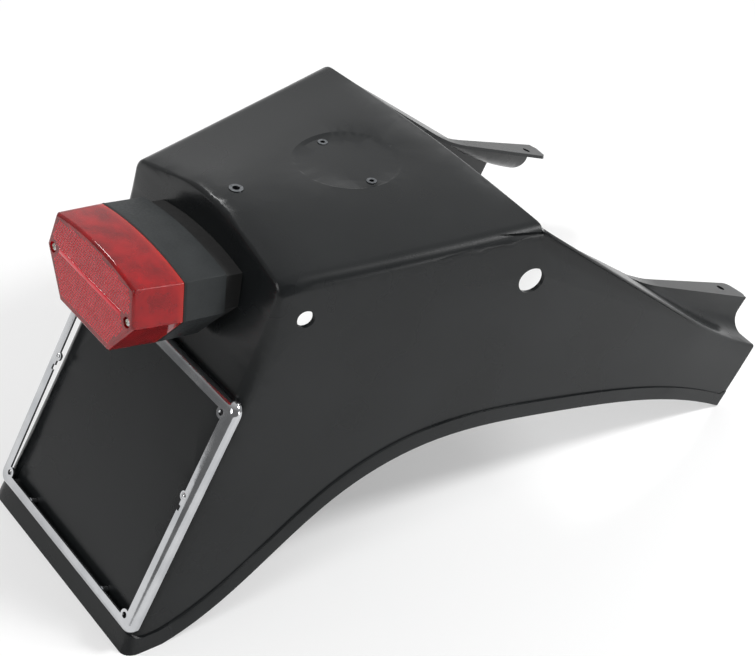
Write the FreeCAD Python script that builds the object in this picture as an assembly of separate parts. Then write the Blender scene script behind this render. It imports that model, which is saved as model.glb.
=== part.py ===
"""Motorcycle rear fender: a moulded shell with a tail lamp, a plate frame and threaded inserts.

The frame of the part: +X to the right seen from behind, +Y towards the front of the
motorcycle, +Z up. The fender rests on its rear lower edge and on its two front arm tips.
The build works with y = 0 at the foot of the rear panel, and every piece is moved at the
end so that the origin lies under the middle of the fender.
"""
import FreeCAD, Part
import math
import os

V = FreeCAD.Vector

# Shell: wall, deck and rails
wall = 2.8
fold_radius = 12.0
deck_rear_y = 136.9
deck_rear_half = 84.6
deck_rear_z = 244.0
deck_front_y = 320.2
deck_front_half = 125.0
deck_front_z = 232.0
ridge_rear = 23.0
ridge_front = 7.5
crest_share_rear = 0.30
crest_share_front = 0.66
foot_rear_half = 92.5
foot_front_half = 156.4
flare_ease = 19.0

# Shell: rear panel and its rounded borders
plate_face_angle = 58.5
plate_face_top_z = 175.0
panel_sweep_radius = 280.0
corner_radius = 10.0
gable_radius = 2.5

# Shell: wheel arch, from its rear foot over the crown to its front foot, and the lip along it
arch_rear_y = 24.5
arch_ramp_y = 86.5
arch_ramp_z = 24.3
arch_shoulder_y = 165.5
arch_shoulder_z = 68.5
arch_crown_y = 227.5
arch_crown_z = 83.0
arch_fall_y = 323.5
arch_fall_z = 69.8
arch_brow_y = 431.5
arch_brow_z = 34.6
arch_front_y = 491.0
lip_height = 12.0
lip_step = 1.4
lip_fade = 0.8

# Shell: front opening and the flange along its arms
opening_angle = 43.6
rim_drop = 3.5
rim_sweep_radius = 396.0
rim_radius = 2.0
front_roll = 3.0
return_drop = 6.5
flange_rear_half = 117.0
arm_tip_y = 520.2
arm_tip_z = 47.9
arm_tip_half = 155.7
arm_tip_rake = 31.1
arm_tip_sweep = 15.4

# Shell: raised tabs of the arms
tab_angle = 28.0
tab_bend_y = 430.0
tab_bend_radius = 160.0
tab_root_y = 411.5
tab_root_half = 112.0
tab_inner_half = 106.0
tab_tip_y = 539.0
tab_tip_half = 127.5
tab_tip_skew = 3.8
tab_corner_radius = 6.0
tab_hole_y = 523.0
tab_hole_half = 114.0
tab_hole_radius = 3.25
web_blend_share = 0.58
web_blend_start = 0.8

# Shell: holes of the side walls and the round recess of the deck
rear_hole_y = 151.9
rear_hole_z = 216.3
rear_hole_radius = 6.0
front_hole_y = 309.4
front_hole_z = 193.0
front_hole_radius = 9.5
recess_y = 249.7
recess_radius = 38.2
recess_depth = 1.6
recess_slope = 3.4

# Threaded inserts of the deck
deck_insert_y = 162.0
deck_insert_thread_radius = 2.5
deck_insert_body_radius = 3.6
deck_insert_flange_radius = 4.8
recess_insert_half = 27.6
recess_insert_thread_radius = 1.65
recess_insert_body_radius = 2.6
recess_insert_flange_radius = 3.5
insert_flange = 0.9
insert_seat = 0.4
insert_depth = 12.0
insert_collar = 2.4

# Plate frame, lying on the plate face
frame_foot = 14.8
frame_size = 184.0
frame_corner = 9.0
frame_round = 5.5
frame_sheet = 1.5
frame_rise = 6.5
frame_flank = 6.5
frame_lip = 3.5
eyelet_radius = 4.2
eyelet_hole_radius = 2.2
eyelet_half = 80.5
ear_up = 17.5
ear_half = 82.5
ear_radius = 3.4
notch_up = 8.5
notch_width = 4.0
pin_radius = 1.2
pin_head_radius = 2.2
pin_head = 1.2
stud_half = 50.0
stud_radius = 2.5

# Tail lamp, along its own axis from the rear panel
lamp_angle = 75.0
lamp_z = 210.8
pad_gap = 11.5
pad_inset = 3.0
housing_depth = 29.5
housing_wall = 3.0
housing_spread = 2.2
gasket = 1.5
lens_depth = 34.5
lens_wall = 2.5
lens_bevel = 1.5
lens_top_half = 47.5
lens_top_up = 27.2
lens_mid_half = 53.0
lens_mid_up = 2.0
lens_low_half = 29.8
lens_low_up = -27.9
lens_arch = 5.0
screw_half = 45.4
screw_up = 3.0
screw_radius = 1.7
screw_head_radius = 3.4
screw_head = 2.0
pillar_radius = 4.6
window_half = 21.0
window_margin = 7.0
window_drop = 2.5
window_flange = 1.5
lamp_bolt_half = 27.0
lamp_bolt_up = -4.0
lamp_bolt_radius = 3.0
lamp_bolt_head_radius = 5.5
lamp_bolt_head = 4.0
bolt_boss_radius = 9.0
bolt_boss = 4.0
grommet_up = 12.0
grommet_radius = 11.0
grommet_waist_radius = 8.0
grommet_bore_radius = 4.0
grommet_flange = 3.0

# Inside the lamp
ledge = 1.5
ledge_rise = 15.0
reflector_sheet = 1.0
socket_radius = 9.0
socket_sheet = 1.0
socket_drop = 12.0
socket_stand = 4.0
socket_flange_radius = 12.0
socket_flange = 1.0
insulator = 2.0
contact_radius = 1.6
contact_half = 3.6
contact_stand = 2.0
bulb_cap_radius = 7.5
bulb_cap_length = 17.0
bulb_neck_radius = 6.0
bulb_radius = 12.0
bulb_length = 27.0

# Fasteners and clearances
clearance = 0.25
thread_gap = 0.1
overlap = 0.15
washer = 1.2
washer_share = 2.0
nut_share = 1.6
nut_width_share = 1.85
stud_end = 2.5

# Span of the construction solids beyond the part
beyond = 300.0
below = -20.0


def mirrored(shape):
    return shape.mirror(V(0, 0, 0), V(1, 0, 0))


def flip(point):
    return V(-point.x, point.y, point.z)


def turn_vector(angle):
    """Unit vector in the side view, rising forwards by an angle in degrees."""
    return V(0, math.cos(math.radians(angle)), math.sin(math.radians(angle)))


def face_of(curves):
    return Part.Face(Part.Wire([curve.toShape() for curve in curves]))


def polyline(points):
    return [Part.LineSegment(a, b) for a, b in zip(points, points[1:])]


def side_prism(curves):
    """Solid across the full width from an outline in the side view."""
    face = face_of(curves)
    face.translate(V(-beyond, 0, 0))
    return face.extrude(V(2 * beyond, 0, 0))


def plan_prism(curves):
    """Solid of full height from an outline seen from above."""
    face = face_of(curves)
    face.translate(V(0, 0, -beyond))
    return face.extrude(V(0, 0, 3 * beyond))


def cylinder(base, axis, radius, length):
    return Part.makeCylinder(radius, length, base, axis)


def seated(shape, point, axis):
    """Moves a shape built on Z to a place with its axis along another."""
    moved = shape.copy()
    turn = FreeCAD.Placement(point, FreeCAD.Rotation(V(0, 0, 1), axis))
    moved.Placement = turn.multiply(moved.Placement)
    return moved


def tangent_arc(before, corner, after, radius):
    """Start, middle and end of the arc that rounds a corner between two straight legs."""
    u = (before - corner).normalize()
    v = (after - corner).normalize()
    half = math.acos(max(-1.0, min(1.0, u.dot(v)))) / 2
    reach = radius / math.tan(half)
    inward = (u + v).normalize()
    centre = corner + inward * (radius / math.sin(half))
    return corner + u * reach, centre - inward * radius, corner + v * reach


def rounded_loop(points, radii):
    """Closed outline of straight legs with a radius at each corner, zero for a sharp one."""
    stops = []
    for i, corner in enumerate(points):
        if radii[i]:
            stops.append(tangent_arc(points[i - 1], corner, points[(i + 1) % len(points)], radii[i]))
        else:
            stops.append((corner, None, corner))
    curves = []
    for i, (start, middle, end) in enumerate(stops):
        if middle is not None:
            curves.append(Part.Arc(start, middle, end))
        curves.append(Part.LineSegment(end, stops[(i + 1) % len(stops)][0]))
    return curves


def round_edges(shape, radii_of):
    """Fillets each edge for which radii_of gives two end radii; keeps the shape where that fails."""
    document = FreeCAD.newDocument("rounding")
    base = document.addObject("Part::Feature", "base")
    base.Shape = shape
    radii = [radii_of(edge) for edge in shape.Edges]
    fillet = document.addObject("Part::Fillet", "fillet")
    fillet.Base = base
    fillet.Edges = [(i + 1, pair[0], pair[1]) for i, pair in enumerate(radii) if pair]
    document.recompute()
    rounded = fillet.Shape.copy()
    FreeCAD.closeDocument(document.Name)
    return rounded if not rounded.isNull() and rounded.isValid() else shape


def samples(edge):
    """Five points along an edge, from its first to its last."""
    first = edge.FirstParameter
    step = (edge.LastParameter - first) / 4
    return [edge.valueAt(first + step * i) for i in range(5)]


# Rails and sections of the shell
def along_deck(y):
    return (y - deck_rear_y) / (deck_front_y - deck_rear_y)


def fold_half(y):
    """Half width at the deck's fold, easing back to parallel along the arms."""
    ahead = max(0.0, (y - deck_front_y) / (arm_tip_y - deck_front_y))
    return deck_rear_half + (deck_front_half - deck_rear_half) * along_deck(y) - flare_ease * ahead ** 3


def fold_z(y):
    return deck_rear_z + (deck_front_z - deck_rear_z) * along_deck(y)


def foot_half(y):
    return foot_rear_half + (foot_front_half - foot_rear_half) * y / arch_front_y


def ridge_rise(y):
    """Height above the fold at which the two flanks would meet, less and less towards the front."""
    return ridge_rear * (ridge_front / ridge_rear) ** along_deck(y)


def crest_half(y):
    """Half width of the rounded crest between the flanks."""
    share = crest_share_rear + (crest_share_front - crest_share_rear) * along_deck(y)
    return fold_half(y) * min(max(share, crest_share_rear / 2), crest_share_front)


def section_points(y, inset):
    """Foot of a section and the three points of its fold arc and of its crest arc."""
    flank = math.atan2(ridge_rise(y), fold_half(y))
    lean = (foot_half(y) - fold_half(y)) / fold_z(y)
    half = fold_half(y) - inset
    top = fold_z(y) - inset
    foot = V(half + lean * (top - below), y, below)
    fold = V(half, y, top)
    apex = V(0, y, top + half * math.tan(flank))
    bend = tangent_arc(foot, fold, apex, fold_radius - inset)
    crest = tangent_arc(fold, apex, flip(fold), crest_half(y) / math.sin(flank))
    return foot, bend, crest


def section(y, inset):
    foot, bend, crest = section_points(y, inset)
    back = [flip(point) for point in reversed(bend)]
    curves = [
        Part.LineSegment(foot, bend[0]),
        Part.Arc(*bend),
        Part.LineSegment(bend[2], crest[0]),
        Part.Arc(*crest),
        Part.LineSegment(crest[2], back[0]),
        Part.Arc(*back),
        Part.LineSegment(back[2], flip(foot)),
        Part.LineSegment(flip(foot), foot),
    ]
    return Part.Wire([curve.toShape() for curve in curves])


def crowned_block(inset, fade=0.0):
    """Solid under the crowned deck and between the flaring walls, inset more along the arms by fade."""
    step = (deck_front_y - deck_rear_y) / 2
    stations = [deck_rear_y + step * i for i in (-1.8, -0.9, 0, 1, 2)]
    stations += [(deck_front_y + arm_tip_y) / 2 + step / 8, arm_tip_y + step / 2]
    wires = []
    for y in stations:
        ahead = max(0.0, (y - deck_front_y) / (arm_tip_y - deck_front_y))
        wires.append(section(y, inset + fade * ahead))
    return Part.makeLoft(wires, True, False)


def deck_point(y):
    """Point of the deck on the middle plane."""
    return section_points(y, 0.0)[2][1]


def deck_normal(y):
    ahead = deck_point(y + 1.0) - deck_point(y - 1.0)
    return V(0, -ahead.z, ahead.y).normalize()


# Rear panel: a flat plate face that sweeps up to the deck
panel_up = turn_vector(plate_face_angle)
panel_out = turn_vector(plate_face_angle + 90)
sweep_start = panel_up * (plate_face_top_z / panel_up.z)
sweep_centre = sweep_start + panel_out * panel_sweep_radius


def panel_y(z):
    """y of the panel's outer face at a height."""
    if z <= plate_face_top_z:
        return z * panel_up.y / panel_up.z
    return sweep_centre.y + math.sqrt(panel_sweep_radius ** 2 - (sweep_centre.z - z) ** 2)


def panel_region(shift):
    """Everything ahead of the rear panel's face, moved forwards by shift."""
    start = sweep_start - panel_out * shift
    reach = panel_sweep_radius + shift
    middle = sweep_centre + turn_vector(plate_face_angle / 2 - 45) * reach
    end = sweep_centre + V(0, reach, 0)
    foot = start - panel_up * ((start.z - 2 * below) / panel_up.z)
    top = 2 * beyond
    ahead = 3 * beyond
    corners = [end, V(0, end.y, top), V(0, ahead, top), V(0, ahead, foot.z), foot, start]
    return side_prism([Part.Arc(start, middle, end)] + polyline(corners))


def rear_radii(edge):
    """Rounding of the panel's border: broad down the corners, crisp over the deck."""
    points = samples(edge)
    off_panel = any(abs(p.y - panel_y(p.z)) > 0.02 for p in points)
    across_panel = abs(points[0].x + points[4].x) < 0.1 and abs(points[0].z - points[2].z) < 0.1
    if off_panel or across_panel:
        return None
    on_deck = [abs(p.x) < section_points(p.y, 0.0)[1][2].x + 0.5 for p in (points[0], points[4])]
    return [gable_radius if deck else corner_radius for deck in on_deck]


# Front opening: a straight rim that sweeps out at the arm tips
rim_down = turn_vector(-opening_angle)
rim_out = turn_vector(90 - opening_angle)
rim_start = V(0, deck_front_y, deck_front_z - rim_drop)
arm_tip = V(0, arm_tip_y, arm_tip_z)
tip_lift = (arm_tip - rim_start).dot(rim_out)
tip_run = math.sqrt(2 * rim_sweep_radius * tip_lift - tip_lift ** 2)
rim_knee = rim_start + rim_down * ((arm_tip - rim_start).dot(rim_down) - tip_run)
rim_centre = rim_knee + rim_out * rim_sweep_radius
rim_turn = math.degrees(math.asin(tip_run / rim_sweep_radius))


def rim_point(turn, shift):
    """Point of the rim's sweep after a turn in degrees, moved inwards by shift."""
    return rim_centre - turn_vector(90 - opening_angle + turn) * (rim_sweep_radius + shift)


def rim_z(y):
    """Height of the rim at a place along the arms."""
    if y <= rim_knee.y:
        return rim_start.z - (y - rim_start.y) * math.tan(math.radians(opening_angle))
    return rim_centre.z - math.sqrt(rim_sweep_radius ** 2 - (y - rim_centre.y) ** 2)


def below_rim(start, shift):
    """Outline from a start on the rim's line, along the rim and round below to above the deck."""
    knee = rim_point(0, shift)
    tip = rim_point(rim_turn, shift)
    far = tip + turn_vector(rim_turn - opening_angle) * beyond
    corners = [far, V(0, far.y, -beyond), V(0, -beyond, -beyond), V(0, -beyond, 2 * beyond)]
    sweep = Part.Arc(knee, rim_point(rim_turn / 2, shift), tip)
    return [Part.LineSegment(start, knee), sweep] + polyline([tip] + corners)


def outer_region(shift):
    """Everything behind the deck's front edge or below the rim, whose line is moved inwards by shift."""
    start = rim_start - rim_out * shift
    top = V(0, start.y, 2 * beyond)
    curves = below_rim(start, shift)
    return side_prism(curves + polyline([curves[-1].EndPoint, top, start]))


def cavity_region():
    """The same inside the wall, leaving a return flange under the deck's front edge."""
    low = rim_start.z - return_drop
    start = rim_point(0, wall)
    start += rim_down * ((low - start.z) / rim_down.z)
    top = V(0, deck_front_y - wall, 2 * beyond)
    curves = below_rim(start, wall)
    return side_prism(curves + polyline([curves[-1].EndPoint, top, V(0, top.y, low), start]))


def rim_radii(edge):
    """Rounding of the rim along both arms."""
    points = samples(edge)
    on_rim = all(p.y > deck_front_y - 0.01 and abs(p.z - rim_z(p.y)) < 0.02 for p in points)
    level = abs(points[0].z - points[2].z) < 0.01
    return [rim_radius, rim_radius] if on_rim and not level else None


def front_radii(edge):
    """Rounding of the deck's front edge."""
    points = samples(edge)
    on_edge = all(abs(p.y - deck_front_y) < 0.01 and p.z > rim_start.z - rim_radius for p in points)
    level = abs(points[0].z - points[2].z) < 0.01
    return [front_roll, front_roll] if on_edge and not level else None


# Wheel arch and lip
def arch_region(lift):
    """Everything below the arch's edge, raised by lift, and below the floor or the lip's top."""
    passes = [
        V(0, arch_rear_y, lift),
        V(0, arch_ramp_y, arch_ramp_z + lift),
        V(0, arch_shoulder_y, arch_shoulder_z + lift),
        V(0, arch_crown_y, arch_crown_z + lift),
        V(0, arch_fall_y, arch_fall_z + lift),
        V(0, arch_brow_y, arch_brow_z + lift),
        V(0, arch_front_y, lift),
    ]
    edge = Part.BSplineCurve()
    edge.interpolate(passes)
    ahead = 3 * beyond
    ends = [V(0, ahead, lift), V(0, ahead, -beyond), V(0, -beyond, -beyond), V(0, -beyond, lift)]
    return side_prism([edge] + polyline(passes[-1:] + ends + passes[:1]))


def lip_ring():
    """Raised band along the arch and round the foot of the rear panel, fading towards the front."""
    block = crowned_block(-lip_step, lip_fade).common(panel_region(-lip_step))
    return round_edges(block, lip_radii).common(arch_region(lip_height))


def lip_radii(edge):
    """Rounding of the lip round the corners of the rear panel."""
    points = samples(edge)
    back = panel_out * lip_step
    on_panel = all(abs(p.y - back.y - panel_y(p.z - back.z)) < 0.02 for p in points)
    at_side = all(abs(p.x) > deck_rear_half / 2 for p in points)
    rises = abs(points[0].z - points[4].z) > plate_face_top_z / 2
    return [corner_radius, corner_radius] if on_panel and at_side and rises else None


# Arms: plan of the opening, webs and raised tabs
tab_line = turn_vector(-tab_angle)
tab_normal = turn_vector(90 - tab_angle)
tab_bend = V(0, tab_bend_y, rim_z(tab_bend_y))


def tab_half(y):
    """Half width to the outer edge of a tab, straight from root to tip."""
    return tab_root_half + (tab_tip_half - tab_root_half) * (y - tab_root_y) / (tab_tip_y - tab_root_y)


def tab_z(y):
    """Height of a tab's top ahead of its bend."""
    return tab_bend.z - (y - tab_bend_y) * math.tan(math.radians(tab_angle))


def opening_plan():
    """Opening between the arms, seen from above."""
    half = [
        V(flange_rear_half, deck_front_y, 0),
        V(tab_half(tab_root_y) - wall, tab_root_y, 0),
        V(tab_half(3 * beyond) - wall, 3 * beyond, 0),
    ]
    return plan_prism(polyline(half + [flip(p) for p in reversed(half)] + half[:1]))


def tab_sheet(depth):
    """Side view outline of the tab's top, which leaves the rim's line by a soft bend, to a depth."""
    start = tab_bend - rim_down * (tab_bend_radius / 2)
    end = tab_bend + tab_line * beyond
    top = tangent_arc(start, tab_bend, end, tab_bend_radius)
    half_turn = math.radians((opening_angle - tab_angle) / 2)
    low_bend = tab_bend - turn_vector(90 - (opening_angle + tab_angle) / 2) * (depth / math.cos(half_turn))
    low_start = start - rim_out * depth
    low_end = end - tab_normal * depth
    low = tangent_arc(low_start, low_bend, low_end, tab_bend_radius + depth)
    curves = [Part.LineSegment(start, top[0]), Part.Arc(*top)] + polyline([top[2], end, low_end, low[2]])
    return side_prism(curves + [Part.Arc(low[2], low[1], low[0])] + polyline([low[0], low_start, start]))


def tab_solid():
    corners = [
        V(tab_root_half - wall, tab_root_y - wall, 0),
        V(tab_inner_half, tab_bend_y, 0),
        V(tab_inner_half, tab_tip_y, 0),
        V(tab_half(tab_tip_y), tab_tip_y + tab_tip_skew, 0),
        V(tab_root_half, tab_root_y, 0),
        V(tab_root_half, tab_root_y - wall, 0),
    ]
    radii = [0, 0, tab_corner_radius, tab_corner_radius, 0, 0]
    sheet = tab_sheet(wall).common(plan_prism(rounded_loop(corners, radii)))
    hole = V(tab_hole_half, tab_hole_y, tab_z(tab_hole_y))
    return sheet.cut(cylinder(hole - tab_normal * 2 * wall, tab_normal, tab_hole_radius, 4 * wall))


def web_solid():
    """Upright web between the arm's flange and the outer edge of the tab."""
    reach = 2 * arm_tip_y - tab_root_y
    plan = [
        V(tab_half(tab_root_y), tab_root_y, 0),
        V(tab_half(reach), reach, 0),
        V(tab_half(reach) - wall, reach, 0),
        V(tab_half(tab_root_y) - wall, tab_root_y, 0),
    ]
    strip = tab_sheet(beyond).common(plan_prism(polyline(plan + plan[:1])))
    return strip.cut(outer_region(wall / 2))


def web_blend(y):
    """Fill and corner to be cut at the foot of a web, which give it a soft bend of even thickness."""
    radius = max(web_blend_start, web_blend_share * (tab_z(y) - rim_z(y)))
    centre = V(tab_half(y) + radius, y, rim_z(y) + radius)
    inner = blend_arc(centre, radius + overlap)
    outer = blend_arc(centre, radius + wall + overlap)
    inside = centre - V(radius + wall / 2, 0, radius + wall / 2)
    outside = centre - V(radius + 2 * wall, 0, radius + 2 * wall)
    wires = []
    for arc, corner in ((inner, inside), (outer, outside)):
        turns = [arc.EndPoint, V(corner.x, y, centre.z), corner, V(centre.x, y, corner.z), arc.StartPoint]
        wires.append(Part.Wire([curve.toShape() for curve in [arc] + polyline(turns)]))
    return wires


def blend_arc(centre, radius):
    """Quarter circle from below a centre to its inner side."""
    middle = centre - V(1, 0, 1).normalize() * radius
    return Part.Arc(centre - V(0, 0, radius), middle, centre - V(radius, 0, 0))


def web_blends():
    """Fill and corner of the whole foot of the right web."""
    start = tab_bend_y + tab_corner_radius
    step = (tab_tip_y - start) / 5
    wires = [web_blend(start + step * i) for i in range(7)]
    return [Part.makeLoft(list(row), True, False) for row in zip(*wires)]


def tip_cutter():
    """Everything ahead of the raked plane that ends the right arm."""
    rake = math.radians(arm_tip_rake)
    sweep = math.radians(arm_tip_sweep)
    ahead = V(math.sin(sweep) * math.cos(rake), math.cos(sweep) * math.cos(rake), -math.sin(rake))
    box = Part.makeBox(beyond, beyond, beyond, V(-beyond / 2, -beyond / 2, 0))
    return seated(box, V(arm_tip_half, arm_tip_y, arm_tip_z), ahead)


# Deck recess and side holes
recess_top = deck_point(recess_y)
recess_normal = deck_normal(recess_y)


def recess_tool(inset, spread):
    """Shallow round sink with a sloping rim, parallel to a crowned face that is inset from the deck."""
    floor = crowned_block(inset)
    floor.translate(recess_normal * -recess_depth)
    start = recess_top - recess_normal * (inset + 3 * recess_depth)
    low_radius = recess_radius + spread - 3 * recess_slope
    high_radius = low_radius + 6 * recess_slope
    return Part.makeCone(low_radius, high_radius, 6 * recess_depth, start, recess_normal).cut(floor)


def wall_half(y, z):
    """Half width of the outer wall at a place."""
    return foot_half(y) + (fold_half(y) - foot_half(y)) * z / fold_z(y)


def side_hole(y, z, radius):
    start = V(wall_half(y, z) - 4 * wall, y, z)
    return cylinder(start, V(1, 0, 0), radius, 8 * wall)


def moulded_shell():
    """Shell without the holes of its fittings."""
    body = round_edges(crowned_block(0.0).common(panel_region(0.0)), rear_radii)
    body = body.common(outer_region(0.0))
    body = round_edges(round_edges(body, rim_radii), front_radii)
    body = body.fuse(lip_ring().common(outer_region(0.0)))
    body = body.cut(arch_region(0.0)).cut(recess_tool(0.0, 0.0))
    cavity = crowned_block(wall).common(panel_region(wall)).common(cavity_region())
    cavity = cavity.cut([recess_tool(wall, wall / 2)] + bolt_bosses())
    body = body.cut(cavity).cut(opening_plan())
    web = web_solid()
    body = body.fuse([web, mirrored(web)])
    fill, corner = web_blends()
    body = body.fuse([fill, mirrored(fill)]).cut([corner, mirrored(corner)])
    tip = tip_cutter()
    body = body.cut([tip, mirrored(tip)])
    tab = tab_solid()
    body = body.fuse([tab, mirrored(tab)])
    holes = [
        side_hole(rear_hole_y, rear_hole_z, rear_hole_radius),
        side_hole(front_hole_y, front_hole_z, front_hole_radius),
    ]
    return body.cut(holes + [mirrored(hole) for hole in holes])


# Threaded inserts
def insert_solid(radii, length):
    """Flanged insert with its seat at the origin and a collar that grips the wall from inside."""
    thread, body, flange = radii
    solid = cylinder(V(0, 0, 0), V(0, 0, 1), flange, insert_flange)
    solid = solid.fuse(cylinder(V(0, 0, -length), V(0, 0, 1), body, length))
    grip = 2 * insert_seat - wall
    collar = cylinder(V(0, 0, grip - insert_collar), V(0, 0, 1), flange - insert_seat, insert_collar)
    solid = solid.fuse(collar)
    return solid.cut(cylinder(V(0, 0, -2 * length), V(0, 0, 1), thread, 4 * length)).removeSplitter()


def insert_seat_tool(radii, length):
    """Hole and two flat seats for an insert, outside and inside the wall."""
    body, flange = radii[1:]
    tool = cylinder(V(0, 0, -length), V(0, 0, 1), body, 2 * length)
    tool = tool.fuse(cylinder(V(0, 0, 0), V(0, 0, 1), flange + clearance, length))
    grip = 2 * insert_seat - wall
    return tool.fuse(cylinder(V(0, 0, grip - length), V(0, 0, 1), flange, length))


deck_insert_radii = (deck_insert_thread_radius, deck_insert_body_radius, deck_insert_flange_radius)
deck_insert_axis = deck_normal(deck_insert_y)
deck_insert_place = deck_point(deck_insert_y) - deck_insert_axis * insert_seat
recess_insert_radii = (recess_insert_thread_radius, recess_insert_body_radius, recess_insert_flange_radius)


def recess_insert_place(side):
    """Seat of a recess insert, on the floor of the recess to the left or right of its middle."""
    flank = math.atan2(ridge_rise(recess_y), fold_half(recess_y))
    crown = crest_half(recess_y) / math.sin(flank)
    drop = crown - math.sqrt(crown ** 2 - recess_insert_half ** 2)
    floor = recess_top - recess_normal * (recess_depth + insert_seat + drop)
    return floor + V(side * recess_insert_half, 0, 0)


def deck_inserts(build):
    """Applies an insert builder at the deck's insert and at the two of the recess."""
    rear = seated(build(deck_insert_radii), deck_insert_place, deck_insert_axis)
    small = build(recess_insert_radii)
    pair = [seated(small, recess_insert_place(side), recess_normal) for side in (-1, 1)]
    return rear, pair


# Common fasteners, standing on z = 0
def hexagon(radius, height):
    turns = [math.radians(60 * i) for i in range(6)]
    corners = [V(radius * math.cos(turn), radius * math.sin(turn), 0) for turn in turns]
    return face_of(polyline(corners + corners[:1])).extrude(V(0, 0, height))


def nut_solid(radius):
    nut = hexagon(radius * nut_width_share, radius * nut_share)
    return nut.cut(cylinder(V(0, 0, -radius), V(0, 0, 1), radius + thread_gap, 4 * radius))


def washer_solid(radius):
    disc = cylinder(V(0, 0, 0), V(0, 0, 1), radius * washer_share, washer)
    return disc.cut(cylinder(V(0, 0, -washer), V(0, 0, 1), radius + clearance, 3 * washer))


def dome(radius, height):
    """Low round head with its flat side on z = 0."""
    ball = (radius ** 2 + height ** 2) / (2 * height)
    cap = Part.makeSphere(ball, V(0, 0, height - ball))
    return cap.common(cylinder(V(0, 0, 0), V(0, 0, 1), radius, height))


def at_each(shape, places):
    """Copies of a shape at several places, as one group of separate solids."""
    copies = []
    for place in places:
        copy = shape.copy()
        copy.translate(place)
        copies.append(copy)
    return Part.makeCompound(copies)


# Plate frame, in the plane of the plate face: x across, y up the slope, z outwards
frame_up = frame_foot + frame_size / 2
frame_half = frame_size / 2
lip_outer_half = frame_half - frame_flank
window_half_size = lip_outer_half - frame_lip
stud_up = window_half_size + frame_lip / 2
stud_places = [V(x * stud_half, frame_up + y * stud_up, 0) for x in (-1, 1) for y in (-1, 1)]
pin_places = [V(x * ear_half, frame_up + ear_up, frame_rise) for x in (-1, 1)]


def on_plate_face(shape):
    moved = shape.copy()
    turn = FreeCAD.Placement(V(0, 0, 0), FreeCAD.Rotation(V(1, 0, 0), plate_face_angle))
    moved.Placement = turn.multiply(moved.Placement)
    return moved


def square_wire(half, corner, z):
    corners = [V(x * half, frame_up + y * half, z) for x, y in ((-1, -1), (1, -1), (1, 1), (-1, 1))]
    return Part.Wire([curve.toShape() for curve in rounded_loop(corners, [corner] * 4)])


def square_block(half, corner, low, high):
    return Part.Face(square_wire(half, corner, low)).extrude(V(0, 0, high - low))


def flank_block(inset):
    """Square block whose upper border is rounded over, inset from the frame's outside."""
    top = frame_rise - inset
    block = square_block(frame_half - inset, frame_corner - inset, 0.0, top)
    border = [edge for edge in block.Edges if all(abs(p.z - top) < 0.01 for p in samples(edge))]
    return block.makeFillet(frame_round - inset, border)


def plate_frame():
    lip_z = frame_rise - frame_sheet
    outer = flank_block(0.0)
    window = square_block(window_half_size, frame_corner / 2, -frame_rise, 2 * frame_rise)
    frame = outer.cut([flank_block(frame_sheet), window])
    corners = [V(x * eyelet_half, frame_up + y * eyelet_half, lip_z) for x in (-1, 1) for y in (-1, 1)]
    ears = [place - V(0, 0, frame_sheet) for place in pin_places]
    lugs = [cylinder(place, V(0, 0, 1), eyelet_radius, frame_sheet) for place in corners]
    lugs += [cylinder(place, V(0, 0, 1), ear_radius, frame_sheet).common(outer) for place in ears]
    length = wall + washer + stud_radius * nut_share + stud_end
    stud = cylinder(V(0, 0, -length), V(0, 0, 1), stud_radius, length + lip_z)
    studs = at_each(stud, stud_places).Solids
    frame = frame.fuse(lugs + studs)
    holes = [cylinder(place, V(0, 0, 1), eyelet_hole_radius, frame_rise) for place in corners]
    holes += [cylinder(place, V(0, 0, 1), pin_radius + clearance, frame_rise) for place in ears]
    for side in (-1, 1):
        middle = V(side * window_half_size - notch_width / 2, frame_up + notch_up - notch_width / 2, 0)
        holes.append(Part.makeBox(notch_width, notch_width, 2 * frame_rise, middle))
    return on_plate_face(frame.cut(holes).removeSplitter())


def frame_pins():
    """Domed pins riveted through the ears at both sides."""
    back = clearance + pin_radius
    pin = dome(pin_head_radius, pin_head)
    pin = pin.fuse(cylinder(V(0, 0, -frame_sheet), V(0, 0, 1), pin_radius, frame_sheet))
    pin = pin.fuse(cylinder(V(0, 0, -2 * frame_sheet), V(0, 0, 1), back + clearance, frame_sheet))
    return on_plate_face(at_each(pin, pin_places))


def frame_washers():
    places = [place - V(0, 0, wall + washer) for place in stud_places]
    return on_plate_face(at_each(washer_solid(stud_radius), places))


def frame_nuts():
    depth = wall + washer + stud_radius * nut_share
    return on_plate_face(at_each(nut_solid(stud_radius), [p - V(0, 0, depth) for p in stud_places]))


# Tail lamp, in its own frame: x across, y up the lens, z out along the lamp's axis
lamp_base = V(0, panel_y(lamp_z), lamp_z)
housing_back = pad_gap + housing_wall
housing_front = pad_gap + housing_depth
lens_back = housing_front + gasket
lens_front = lens_back + lens_depth
reflector_back = housing_back + ledge_rise
reflector_front = reflector_back + reflector_sheet
screw_places = [V(x * screw_half, screw_up, 0) for x in (-1, 1)]
bolt_places = [V(x * lamp_bolt_half, lamp_bolt_up, 0) for x in (-1, 1)]
grommet_z = lamp_z + grommet_up * math.sin(math.radians(lamp_angle))
grommet_base = V(0, panel_y(grommet_z), grommet_z)
grommet_axis = (sweep_centre - grommet_base).normalize()


def on_lamp(shape):
    moved = shape.copy()
    turn = FreeCAD.Placement(lamp_base, FreeCAD.Rotation(V(1, 0, 0), lamp_angle))
    moved.Placement = turn.multiply(moved.Placement)
    return moved


def posts(places, radius, low, high):
    """Upright round posts at several places of the lamp."""
    return [cylinder(place + V(0, 0, low), V(0, 0, 1), radius, high - low) for place in places]


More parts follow.
